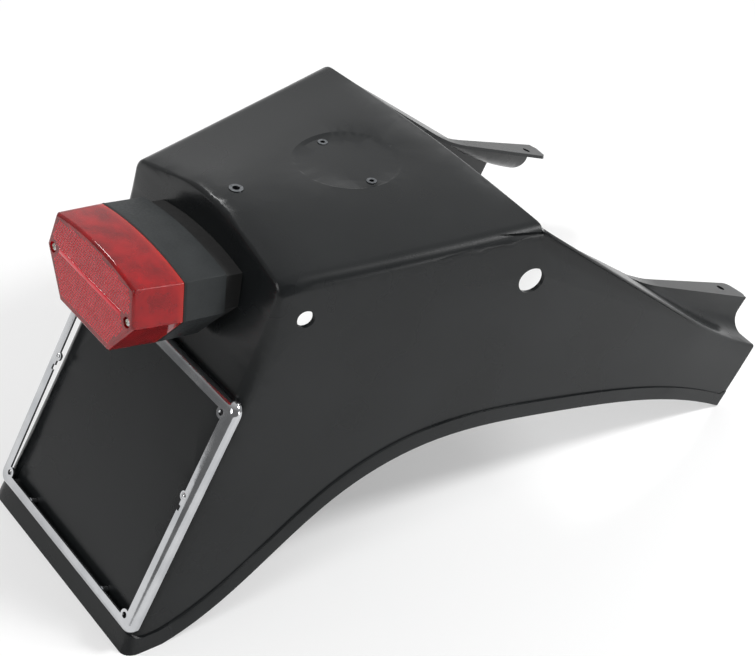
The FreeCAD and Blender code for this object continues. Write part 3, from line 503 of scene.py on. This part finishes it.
def shell_step(place):
    """Longest edge of the shell's mesh at a place: fine at the rim of the round sink."""
    from_rim = math.hypot(place.x, place.y - SINK_Y) - SINK_RADIUS
    if place.z > DECK_LOWEST and abs(from_rim) < SINK_EDGE:
        return 0.8 * MM
    return 10 * MM


def refine_shell(joined):
    """Splits the edges of the shell's mesh until none is longer than the step of its place."""
    rounds = 9
    for _ in range(rounds):
        long = [edge for edge in joined.edges
                if edge.calc_length() > shell_step((edge.verts[0].co + edge.verts[1].co) / 2)]
        if not long:
            break
        bmesh.ops.subdivide_edges(joined, edges=long, cuts=1)
        split_wide_faces(joined)


def on_lip_ledge(face):
    """True on the narrow upper face of the lip along the wheel arch."""
    level = 0.05
    upwards = 0.1
    middle = face.calc_center_median()
    in_reach = LIP_LOW < middle.z < LIP_HIGH and middle.y < LIP_FRONT
    return in_reach and abs(face.normal.x) < level and face.normal.z > upwards


def round_lip(joined):
    """Rounds the outer edge of the lip in a mesh whose sharp edges are marked."""
    edges = [edge for edge in joined.edges
             if edge.is_convex and not edge.smooth and any(on_lip_ledge(face) for face in edge.link_faces)]
    bmesh.ops.bevel(joined, geom=edges, offset=LIP_EDGE, segments=3, profile=0.5, affect="EDGES",
                    clamp_overlap=True)
    split_wide_faces(joined)
    for face in joined.faces:
        face.smooth = True


def corners_of(joined):
    return [corner for face in joined.faces for corner in face.loops]


def corner_fans(joined):
    """Number of the smooth fan that each corner of a mesh belongs to, and the corner after each."""
    corners = corners_of(joined)
    for index, loop in enumerate(corners):
        loop.index = index
    owner = list(range(len(corners)))

    def root(corner):
        while owner[corner] != corner:
            owner[corner] = owner[owner[corner]]
            corner = owner[corner]
        return corner

    for edge in joined.edges:
        if edge.smooth and len(edge.link_loops) == 2:
            first, second = edge.link_loops
            owner[root(first.index)] = root(second.link_loop_next.index)
            owner[root(first.link_loop_next.index)] = root(second.index)
    fans = np.unique([root(corner) for corner in owner], return_inverse=True)[1]
    return fans, np.array([loop.link_loop_next.index for loop in corners])


def totals(groups, values):
    """Sum of the vectors of each group."""
    return np.stack([np.bincount(groups, values[:, axis]) for axis in range(3)], axis=1)


def units(vectors):
    """Vectors of the same directions, of length 1."""
    return vectors / np.linalg.norm(vectors, axis=1, keepdims=True)


def fade(distance, width):
    """0 up to a distance of 0, then evenly up to 1 over a width."""
    return np.clip(distance / width, 0, 1)


def fitted(chosen, a, b, value):
    """Value and its slopes along a and b, everywhere on the smooth surface through the chosen points."""
    terms = np.stack([a ** i * b ** j for i, j in POWERS], axis=1)
    k = np.linalg.lstsq(terms[chosen], value[chosen], rcond=None)[0]
    slope_a = sum(k[n] * i * a ** max(i - 1, 0) * b ** j for n, (i, j) in enumerate(POWERS))
    slope_b = sum(k[n] * a ** i * j * b ** max(j - 1, 0) for n, (i, j) in enumerate(POWERS))
    return terms @ k, slope_a, slope_b


def from_fold_axis(wall, deck, under_wall, under_deck):
    """Direction from the axis of a fold to a point, of length 1 on the fold and on the faces beside it."""
    close = (wall * deck).sum(axis=1)
    to_wall = np.maximum(1 - np.maximum(under_wall, 0) / FOLD_RADIUS, close)
    to_deck = np.maximum(1 - np.maximum(under_deck, 0) / FOLD_RADIUS, close)
    share_wall = (to_wall - close * to_deck) / (1 - close ** 2)
    share_deck = (to_deck - close * to_wall) / (1 - close ** 2)
    return wall * share_wall[:, None] + deck * share_deck[:, None]


def fold_normals(places, normals):
    """Normals that turn evenly round the folds of the deck and beside them, and the others as given."""
    side = np.where(places[:, :1] < 0, -1.0, 1.0)
    mirror = np.concatenate((side, np.ones((len(places), 2))), axis=1)
    x, y, z = (places * mirror).T
    given = normals * mirror

    # The wall and the deck are each fitted where they are plain, clear of the edges, the lip and the sink
    facing = 0.9
    wall_foot, wall_top, deck_start = 130 * MM, 210 * MM, 50 * MM
    plain = (y > DECK_REAR + 15 * MM) & (y < DECK_FRONT - 6 * MM)
    along = (y - DECK_REAR) / (DECK_FRONT - DECK_REAR)
    deck_end = FOLD_REAR_HALF + (FOLD_FRONT_HALF - FOLD_REAR_HALF) * along - 1.4 * FOLD_RADIUS
    on_wall = plain & (given[:, 0] > facing) & (z > wall_foot) & (z < wall_top)
    on_deck = plain & (given[:, 2] > facing) & (x > deck_start) & (x < deck_end)
    out, slope_y, slope_z = fitted(on_wall, y, z, x)
    wall = np.stack((np.ones_like(x), -slope_y, -slope_z), axis=1)
    under_wall = (out - x) / np.linalg.norm(wall, axis=1)
    high, slope_y, slope_x = fitted(on_deck, y, x, z)
    deck = np.stack((-slope_x, -slope_y, np.ones_like(x)), axis=1)
    under_deck = (high - z) / np.linalg.norm(deck, axis=1)

    # The outer skin near a fold takes the even normal, fading out over the wall, the deck and the rear edge
    half_wall = 1.4 * MM
    fold_reach, even_reach, even_fade = 15 * MM, 60 * MM, 40 * MM
    rear_gap, rear_fade, front_fade = 10 * MM, 15 * MM, 1 * MM
    alike = 0.1
    turned = from_fold_axis(units(wall), units(deck), under_wall, under_deck)
    skin = np.linalg.norm(turned, axis=1) > 1 - half_wall / FOLD_RADIUS
    turned = units(turned)
    away = np.hypot(under_wall, under_deck)
    weight = fade(even_reach - away, even_fade) * fade(y - DECK_REAR - rear_gap, rear_fade)
    weight *= fade(DECK_FRONT - y, front_fade)
    weight *= ((turned * given).sum(axis=1) > alike) | (skin & (away < fold_reach))
    return units(given + (turned - given) * weight[:, None]) * mirror


def shell_copy(node, name, crease, material):
    """Mesh of the shell, split finely, with its lip rounded and with normals that turn evenly."""
    joined = joined_triangles(node, crease)
    round_lip(joined)
    crease_edges(joined, crease)
    fans = corner_fans(joined)[0]
    weights = np.array([face.normal * face.calc_area() for face in joined.faces for _ in face.loops])
    normals = units(totals(fans, weights))[fans]
    layer = joined.loops.layers.float_vector.new("first_normal")
    for corner, normal in zip(corners_of(joined), normals):
        corner[layer] = normal
    refine_shell(joined)
    crease_edges(joined, crease)
    fans, ahead = corner_fans(joined)
    layer = joined.loops.layers.float_vector["first_normal"]
    even = units(totals(fans, np.array([corner[layer] for corner in corners_of(joined)])))
    joined.loops.layers.float_vector.remove(layer)
    first = np.concatenate((fans, fans[ahead]))
    second = np.concatenate((fans[ahead], fans))
    degree = np.bincount(first)[:, None]
    rounds = 12
    for _ in range(rounds):
        even = units(even + totals(first, even[second]) / degree)
    places = np.empty_like(even)
    places[fans] = [corner.vert.co for corner in corners_of(joined)]
    even = fold_normals(places, even)
    mesh = finished_mesh(joined, name, material)
    mesh.normals_split_custom_set(even[fans])
    return mesh


def plain_mesh(holder, name):
    """Evaluated mesh of a holder object, which is then removed."""
    graph = bpy.context.evaluated_depsgraph_get()
    graph.update()
    made = holder.evaluated_get(graph)
    mesh = bpy.data.meshes.new_from_object(made, preserve_all_data_layers=True, depsgraph=graph)
    mesh.name = name
    bpy.data.objects.remove(holder)
    return mesh


def repeat_tree():
    """Geometry nodes that set a piece on every point of a mesh."""
    tree = bpy.data.node_groups.get("piece_on_points")
    if tree:
        return tree
    tree = bpy.data.node_groups.new("piece_on_points", "GeometryNodeTree")
    sockets = (("Points", "Geometry"), ("Piece", "Object"), ("Turn", "Vector"), ("Finish", "Material"))
    for title, kind in sockets:
        tree.interface.new_socket(title, in_out="INPUT", socket_type="NodeSocket" + kind)
    tree.interface.new_socket("Pieces", in_out="OUTPUT", socket_type="NodeSocketGeometry")
    given = add_node(tree, "NodeGroupInput")
    piece = add_node(tree, "GeometryNodeObjectInfo", {"Object": given.outputs["Piece"]})
    turn = add_node(tree, "FunctionNodeEulerToRotation", {"Euler": given.outputs["Turn"]})
    put = add_node(tree, "GeometryNodeInstanceOnPoints", {
        "Points": given.outputs["Points"],
        "Instance": piece.outputs["Geometry"],
        "Rotation": turn.outputs[0]})
    real = add_node(tree, "GeometryNodeRealizeInstances", {"Geometry": put.outputs[0]})
    painted = add_node(tree, "GeometryNodeSetMaterial", {
        "Geometry": real.outputs[0], "Material": given.outputs["Finish"]})
    add_node(tree, "NodeGroupOutput", {"Pieces": painted.outputs[0]})
    return tree


def repeated(name, points, piece_mesh, turn, material):
    """Plain mesh of a small piece repeated on points, each turned alike."""
    holder = bpy.data.objects.new(name + "_holder", bpy.data.meshes.new(name + "_points"))
    holder.data.from_pydata(points, [], [])
    sample = bpy.data.objects.new(name + "_sample", piece_mesh)
    for made in (holder, sample):
        bpy.context.scene.collection.objects.link(made)
    modifier = holder.modifiers.new("repeat", "NODES")
    modifier.node_group = repeat_tree()
    given = {"Piece": sample, "Turn": turn, "Finish": material}
    for item in modifier.node_group.interface.items_tree:
        if item.in_out == "INPUT" and item.name in given:
            modifier[item.identifier] = given[item.name]
    mesh = plain_mesh(holder, name)
    bpy.data.objects.remove(sample)
    if not mesh.polygons:
        raise RuntimeError(name + " came out empty")
    return mesh


def on_lamp(across, up, out):
    """A place given along the lamp's own directions, in the frame of the part."""
    return LAMP_ACROSS * across + LAMP_UP * up + LAMP_OUT * out


class FENDER_OT_shell(bpy.types.Operator):
    """Moulded shell with its satin charcoal finish"""
    bl_idname = "fender.shell"
    bl_label = "Moulded shell"

    def execute(self, context):
        scene = context.scene
        material = moulded_charcoal_abs(scene.fender_colours, scene.fender_sizes)
        mesh = shell_copy("fender_shell", "shell_moulding", MOULDING_CREASE, material)
        link("shell_moulding", mesh, "charcoal_plastic", "fender_shell")
        return {"FINISHED"}


class FENDER_OT_plate_frame(bpy.types.Operator):
    """Chrome plate frame with its pins"""
    bl_idname = "fender.plate_frame"
    bl_label = "Plate frame"

    def execute(self, context):
        material = bright_chrome_plate()
        for node, name in (("plate_frame", "plate_frame_pressing"), ("frame_pins", "plate_frame_pins")):
            mesh = smooth_copy(node, name, SMALL_CREASE, material)
            link(name, mesh, "frame_chrome", node)
        return {"FINISHED"}


class FENDER_OT_fixings(bpy.types.Operator):
    """Nuts, washers and bolts in bright zinc, and threaded inserts in dull zinc"""
    bl_idname = "fender.fixings"
    bl_label = "Fixings"

    def execute(self, context):
        material = finish("bright_zinc_plate", bright_zinc_plate)
        for node in ("frame_washers", "frame_nuts", "lamp_bolts", "lamp_washers", "lamp_nuts"):
            mesh = smooth_copy(node, node + "_zinc", SMALL_CREASE, material)
            link(node + "_zinc", mesh, "zinc_steel", node)
        dull = dull_zinc_plate()
        for node in ("deck_insert", "recess_inserts"):
            mesh = smooth_copy(node, node + "_zinc", SMALL_CREASE, dull)
            link(node + "_zinc", mesh, "zinc_steel", node)
        return {"FINISHED"}


class FENDER_OT_lamp_body(bpy.types.Operator):
    """Lamp housing with its rubber pad, gasket and grommet"""
    bl_idname = "fender.lamp_body"
    bl_label = "Lamp body"

    def execute(self, context):
        nylon = moulded_grey_nylon(context.scene.fender_colours)
        rubber = moulded_black_rubber()
        edge = context.scene.fender_sizes.lens_edge
        mesh = smooth_copy("lamp_housing", "lamp_housing_moulding", MOULDING_CREASE, nylon, edge)
        link("lamp_housing_moulding", mesh, "lamp_plastic", "lamp_housing")
        for node in ("lamp_base_pad", "lens_gasket", "wiring_grommet"):
            mesh = smooth_copy(node, node + "_rubber", SMALL_CREASE, rubber)
            link(node + "_rubber", mesh, "black_rubber", node)
        return {"FINISHED"}


class FENDER_OT_lens(bpy.types.Operator):
    """Red lens with the prisms and the rib of its face"""
    bl_idname = "fender.lens"
    bl_label = "Lens"

    def execute(self, context):
        sizes = context.scene.fender_sizes
        material = moulded_red_acrylic(context.scene.fender_colours)
        mesh = smooth_copy("lamp_lens", "lens_moulding", LENS_CREASE, material, sizes.lens_edge)
        link("lens_moulding", mesh, "red_lens", "lamp_lens")
        prismed = prismed_red_acrylic(context.scene.fender_colours)
        prisms = repeated("lens_prisms", lens_prism_places(sizes), prism_mesh(sizes), LAMP_EULER, prismed)
        link("lens_prisms", prisms, "red_lens")
        half = RIB_HALF - sizes.rib_width / 2
        rib = half_round("lens_rib", on_lamp(-half, RIB_UP, LENS_FRONT), LAMP_ACROSS * 2 * half, LAMP_OUT,
                         sizes.rib_width, sizes.rib_rise)
        rib.materials.append(prismed)
        link("lens_rib", rib, "red_lens")
        return {"FINISHED"}


def half_round(name, start, run, out, width, rise):
    """Half round bar with tapered ends that stands on a face and points out of it."""
    side = out.cross(run).normalized() * width / 2
    taper = run.normalized() * width / 2
    steps = 8
    points = []
    for foot, slope in ((start, -taper), (start + run, taper)):
        for k in range(steps + 1):
            turn = math.pi * k / steps
            high = math.sin(turn)
            points.append(foot + side * math.cos(turn) + out * rise * high + slope * (1 - high))
    ring = steps + 1
    sides = [(k, k + 1, ring + k + 1, ring + k) for k in range(steps)]
    sides += [(steps, 0, ring, ring + steps), tuple(range(steps, -1, -1)), tuple(range(ring, 2 * ring))]
    mesh = bpy.data.meshes.new(name)
    mesh.from_pydata(points, [], sides)
    outwards(mesh)
    return mesh


def outwards(mesh):
    """Turns the faces of a closed mesh outwards and shades it smooth between its sharp edges."""
    turned = bmesh.new()
    turned.from_mesh(mesh)
    bmesh.ops.recalc_face_normals(turned, faces=turned.faces)
    turned.to_mesh(mesh)
    turned.free()
    mesh.shade_smooth()
    mesh.set_sharp_from_angle(angle=MADE_CREASE)


def lens_corners():
    """Corners of the flat face of the lens, across and up, in order round it."""
    flat = 0.05 * MM
    well = 5 * MM
    points = set()
    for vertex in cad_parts["lamp_lens"].data.vertices:
        if LENS_FRONT - vertex.co.dot(LAMP_OUT) < flat:
            points.add((round(vertex.co.x, 5), round(vertex.co.dot(LAMP_UP), 5)))
    middle = sum(p[1] for p in points) / len(points)
    points = sorted(points, key=lambda p: math.atan2(p[1] - middle, p[0]))
    return [p for p in points if not near_screw(p, well)]


def inside(point, corners, margin):
    """True if a point lies inside a convex outline by a margin."""
    for i, corner in enumerate(corners):
        ahead = corners[(i + 1) % len(corners)]
        run = (ahead[0] - corner[0], ahead[1] - corner[1])
        long = math.hypot(*run)
        if long > 0 and (run[0] * (point[1] - corner[1]) - run[1] * (point[0] - corner[0])) / long < margin:
            return False
    return True


def lens_prism_places(sizes):
    """Staggered rows of prism places on the lens face, clear of its border, rib and screws."""
    corners = lens_corners()
    border = 2.6 * MM
    row_step = sizes.prism_pitch * math.sqrt(3) / 2
    rows = int((LENS_TOP - LENS_FOOT) / row_step) + 1
    half_width = 60 * MM
    columns = int(half_width / sizes.prism_pitch)
    places = []
    for row in range(rows):
        up = LENS_FOOT + row * row_step
        if abs(up - RIB_UP) < sizes.rib_width / 2 + sizes.prism_pitch / 2:
            continue
        for column in range(-columns, columns + 1):
            across = (column + 0.5 * (row % 2)) * sizes.prism_pitch
            point = (across, up)
            if inside(point, corners, border) and not near_screw(point, SCREW_ROOM):
                places.append(on_lamp(across, up, LENS_FRONT))
    return places


def prism_mesh(sizes):
    """Low six sided pyramid of the lens face, with its foot sunk a little."""
    sides = 6
    reach_of_pitch = 0.52
    radius = sizes.prism_pitch * reach_of_pitch
    sink = 0.1 * MM
    turns = [2 * math.pi * (k + 0.5) / sides for k in range(sides)]
    points = [(radius * math.cos(turn), radius * math.sin(turn), -sink) for turn in turns]
    points.append((0.0, 0.0, sizes.prism_rise))
    faces = [(k, (k + 1) % sides, sides) for k in range(sides)]
    faces.append(tuple(reversed(range(sides))))
    mesh = bpy.data.meshes.new("prism")
    mesh.from_pydata(points, [], faces)
    return mesh


class FENDER_OT_plate_window(bpy.types.Operator):
    """Clear window that lights the plate"""
    bl_idname = "fender.plate_window"
    bl_label = "Plate light window"

    def execute(self, context):
        material = moulded_clear_acrylic()
        mesh = smooth_copy("plate_light_window", "plate_window_moulding", WINDOW_CREASE, material)
        link("plate_window_moulding", mesh, "clear_lens", "plate_light_window")
        pitch = context.scene.fender_sizes.flute_pitch
        edge = 1.0 * MM
        half = reach("plate_light_window", LAMP_ACROSS)[1] - 3 * edge
        face = reach("plate_light_window", LAMP_UP)[0]
        back, front = reach("plate_light_window", LAMP_OUT)
        run = Vector((0.0, 0.0, front - back - 4 * edge))
        width = 0.8 * pitch
        rise = 0.25 * pitch
        flute = half_round("flute", Vector(), run, Vector((0.0, -1.0, 0.0)), width, rise)
        count = int(half / pitch)
        places = [on_lamp(k * pitch, face, back + 2 * edge) for k in range(-count, count + 1)]
        flutes = repeated("plate_window_flutes", places, flute, LAMP_EULER, material)
        link("plate_window_flutes", flutes, "clear_lens")
        return {"FINISHED"}


class FENDER_OT_lens_screws(bpy.types.Operator):
    """Two bright cross recessed screws of the lens"""
    bl_idname = "fender.lens_screws"
    bl_label = "Lens screws"

    def execute(self, context):
        material = finish("bright_zinc_plate", bright_zinc_plate)
        back, front = reach("lens_screws", LAMP_OUT)
        places = [on_lamp(side * SCREW_HALF, SCREW_UP, front - HEAD_RISE) for side in (-1, 1)]
        screw = cross_screw(context.scene.fender_sizes.recess_width, front - HEAD_RISE - back)
        mesh = repeated("lens_screws_zinc", places, screw, LAMP_EULER, material)
        link("lens_screws_zinc", mesh, "zinc_steel", "lens_screws")
        return {"FINISHED"}


def head_height(across, up):
    """Height of a domed screw head above its seat."""
    ball = (HEAD_RADIUS ** 2 + HEAD_RISE ** 2) / (2 * HEAD_RISE)
    return math.sqrt(ball ** 2 - across ** 2 - up ** 2) - ball + HEAD_RISE


def cross_screw(slot, length):
    """Domed screw with a cross recess, its seat at zero and its shank pointing down."""
    arm = 0.5 * HEAD_RADIUS
    depth = 0.8 * MM
    shank = HEAD_RADIUS / 2
    slope = 0.08 * MM
    rim = 0.97 * HEAD_RADIUS
    lines = [-arm, -slot / 2, -slot / 2 + slope, slot / 2 - slope, slot / 2, arm]
    lines = [-arm - slope] + lines + [arm + slope]
    count = len(lines)
    points = []
    for up in lines:
        for across in lines:
            low, high = sorted((abs(across), abs(up)))
            sunk = low < slot / 2 - slope / 2 and high <= arm
            points.append((across, up, HEAD_RISE - depth if sunk else head_height(across, up)))
    faces = [(r * count + c, r * count + c + 1, (r + 1) * count + c + 1, (r + 1) * count + c)
             for r in range(count - 1) for c in range(count - 1)]
    last = count - 1
    ring = list(range(last)) + [r * count + last for r in range(last)]
    ring += [last * count + c for c in range(last, 0, -1)] + [r * count for r in range(last, 0, -1)]
    turns = [math.atan2(points[k][1], points[k][0]) for k in ring]
    for radius, height in ((rim, None), (HEAD_RADIUS, 0.0), (shank, 0.0), (shank, -length)):
        start = len(points)
        for turn in turns:
            place = (radius * math.cos(turn), radius * math.sin(turn))
            points.append(place + (head_height(*place) if height is None else height,))
        after = list(range(start, start + len(ring)))
        faces += [(ring[k], ring[k - 1], after[k - 1], after[k]) for k in range(len(ring))]
        ring = after
    faces.append(tuple(ring))
    mesh = bpy.data.meshes.new("cross_screw")
    mesh.from_pydata(points, [], faces)
    outwards(mesh)
    return mesh


class FENDER_OT_bulb(bpy.types.Operator):
    """Reflector, bulb holder and bulb behind the lens"""
    bl_idname = "fender.bulb"
    bl_label = "Bulb and reflector"

    def execute(self, context):
        zinc = finish("bright_zinc_plate", bright_zinc_plate)
        brass = pressed_brass()
        for node, slot, material in (
                ("lamp_reflector", "bright_sheet", polished_aluminium_sheet()),
                ("bulb_socket", "zinc_steel", zinc),
                ("socket_insulator", "insulator_board", phenolic_board()),
                ("socket_contacts", "contact_brass", brass),
                ("bulb_cap", "contact_brass", brass),
                ("bulb_glass", "bulb_clear", blown_bulb_glass())):
            mesh = smooth_copy(node, node + "_finished", SMALL_CREASE, material)
            link(node + "_finished", mesh, slot, node)
        return {"FINISHED"}


def pale_floor(colours):
    """Painted studio floor: keeps the shadow near the object and runs out to plain white."""
    material, tree = new_material("painted_studio_floor")
    place = add_node(tree, "ShaderNodeTexCoord").outputs["Object"]
    away = add_node(tree, "ShaderNodeVectorMath", {0: place}, operation="LENGTH").outputs["Value"]
    near, white_from = 0.33, 0.75
    near_share = 0.3
    far = spread(tree, away, near_share, 1.0, near, white_from)
    path = add_node(tree, "ShaderNodeLightPath")
    seen = path.outputs["Is Camera Ray"]
    for ray in ("Is Glossy Ray", "Is Transmission Ray"):
        either = add_node(tree, "ShaderNodeMath", {0: seen, 1: path.outputs[ray]}, operation="MAXIMUM")
        seen = either.outputs[0]
    share = add_node(tree, "ShaderNodeMath", {0: seen, 1: far}, operation="MULTIPLY").outputs[0]
    paint = add_node(tree, "ShaderNodeBsdfDiffuse", {"Color": tuple(colours.floor)})
    white = add_node(tree, "ShaderNodeEmission", {"Strength": 1.0})
    both = add_node(tree, "ShaderNodeMixShader", {0: share, 1: paint.outputs[0], 2: white.outputs[0]})
    add_node(tree, "ShaderNodeOutputMaterial", {"Surface": both.outputs[0]})
    return material


class FENDER_OT_stage(bpy.types.Operator):
    """Pale floor, soft studio light and the camera"""
    bl_idname = "fender.stage"
    bl_label = "Stage"

    def execute(self, context):
        scene = context.scene
        floor = bpy.data.meshes.new("studio_floor")
        corners = [(x * FLOOR_HALF, y * FLOOR_HALF, 0) for x, y in ((-1, -1), (1, -1), (1, 1), (-1, 1))]
        floor.from_pydata(corners, [], [(0, 1, 2, 3)])
        floor.materials.append(pale_floor(scene.fender_colours))
        ground = bpy.data.objects.new("studio_floor", floor)
        scene.collection.objects.link(ground)
        light_world(scene)
        for softbox in SOFTBOXES:
            add_light(scene, *softbox)
        add_camera(scene)
        scene.view_settings.view_transform = "Standard"
        return {"FINISHED"}


def light_world(scene):
    """Soft surround: white towards the front left and grey on the other side."""
    world = bpy.data.worlds.new("studio_world")
    scene.world = world
    world.use_nodes = True
    tree = world.node_tree
    tree.nodes.clear()
    place = add_node(tree, "ShaderNodeTexCoord").outputs["Generated"]
    bright_side = (-0.55, 0.6, 0.58)
    grey, white = 0.2, 0.8
    turned = add_node(tree, "ShaderNodeVectorMath", {0: place, 1: bright_side}, operation="DOT_PRODUCT")
    strength = spread(tree, turned.outputs["Value"], grey, white, -0.1, 1.0)
    sky = add_node(tree, "ShaderNodeBackground", {"Color": linear("#ffffff"), "Strength": strength})
    add_node(tree, "ShaderNodeOutputWorld", {"Surface": sky.outputs[0]})


def add_light(scene, name, place, aim, size, power):
    """Round softbox that faces the point that it is aimed at."""
    data = bpy.data.lights.new(name, "AREA")
    data.shape = "DISK"
    data.size = size
    data.energy = power
    light = bpy.data.objects.new(name, data)
    light.location = place
    light.rotation_euler = (Vector(aim) - Vector(place)).to_track_quat("-Z", "Y").to_euler()
    scene.collection.objects.link(light)


def add_camera(scene):
    """Camera behind, above and to the right, level to within a degree."""
    behind = Vector((math.sin(CAMERA_AZIMUTH), -math.cos(CAMERA_AZIMUTH), 0.0))
    back = behind * math.cos(CAMERA_ELEVATION) + Vector((0.0, 0.0, math.sin(CAMERA_ELEVATION)))
    level = Vector((math.cos(CAMERA_AZIMUTH), math.sin(CAMERA_AZIMUTH), 0.0))
    rise = back.cross(level)
    right = level * math.cos(CAMERA_ROLL) + rise * math.sin(CAMERA_ROLL)
    up = rise * math.cos(CAMERA_ROLL) - level * math.sin(CAMERA_ROLL)
    data = bpy.data.cameras.new("photo_camera")
    data.sensor_fit = "HORIZONTAL"
    data.sensor_width = 36.0
    data.lens = CAMERA_LENS
    camera = bpy.data.objects.new("photo_camera", data)
    turn = Matrix((right, up, back)).transposed().to_4x4()
    camera.matrix_world = Matrix.Translation(CAMERA_PLACE) @ turn
    scene.collection.objects.link(camera)
    scene.camera = camera


OPERATORS = (
    FENDER_OT_shell, FENDER_OT_plate_frame, FENDER_OT_fixings, FENDER_OT_lamp_body, FENDER_OT_lens,
    FENDER_OT_plate_window, FENDER_OT_lens_screws, FENDER_OT_bulb, FENDER_OT_stage,
)


class FENDER_PT_looks(bpy.types.Panel):
    """Sidebar with the colours, the sizes and a button for each group of pieces"""
    bl_idname = "FENDER_PT_looks"
    bl_label = "Rear fender"
    bl_space_type = "VIEW_3D"
    bl_region_type = "UI"
    bl_category = "Fender"

    def draw(self, context):
        layout = self.layout
        for group in (context.scene.fender_colours, context.scene.fender_sizes):
            box = layout.box()
            for key in group.__annotations__:
                box.prop(group, key)
        for operator in OPERATORS:
            layout.operator(operator.bl_idname)


CLASSES = (FenderColours, FenderSizes) + OPERATORS + (FENDER_PT_looks,)


def register():
    for kind in CLASSES:
        bpy.utils.register_class(kind)
    bpy.types.Scene.fender_colours = bpy.props.PointerProperty(type=FenderColours)
    bpy.types.Scene.fender_sizes = bpy.props.PointerProperty(type=FenderSizes)


def unregister():
    del bpy.types.Scene.fender_sizes
    del bpy.types.Scene.fender_colours
    for kind in reversed(CLASSES):
        bpy.utils.unregister_class(kind)


def main():
    register()
    bpy.ops.fender.shell()
    bpy.ops.fender.plate_frame()
    bpy.ops.fender.fixings()
    bpy.ops.fender.lamp_body()
    bpy.ops.fender.lens()
    bpy.ops.fender.plate_window()
    bpy.ops.fender.lens_screws()
    bpy.ops.fender.bulb()
    bpy.ops.fender.stage()


if __name__ == "__main__":
    main()
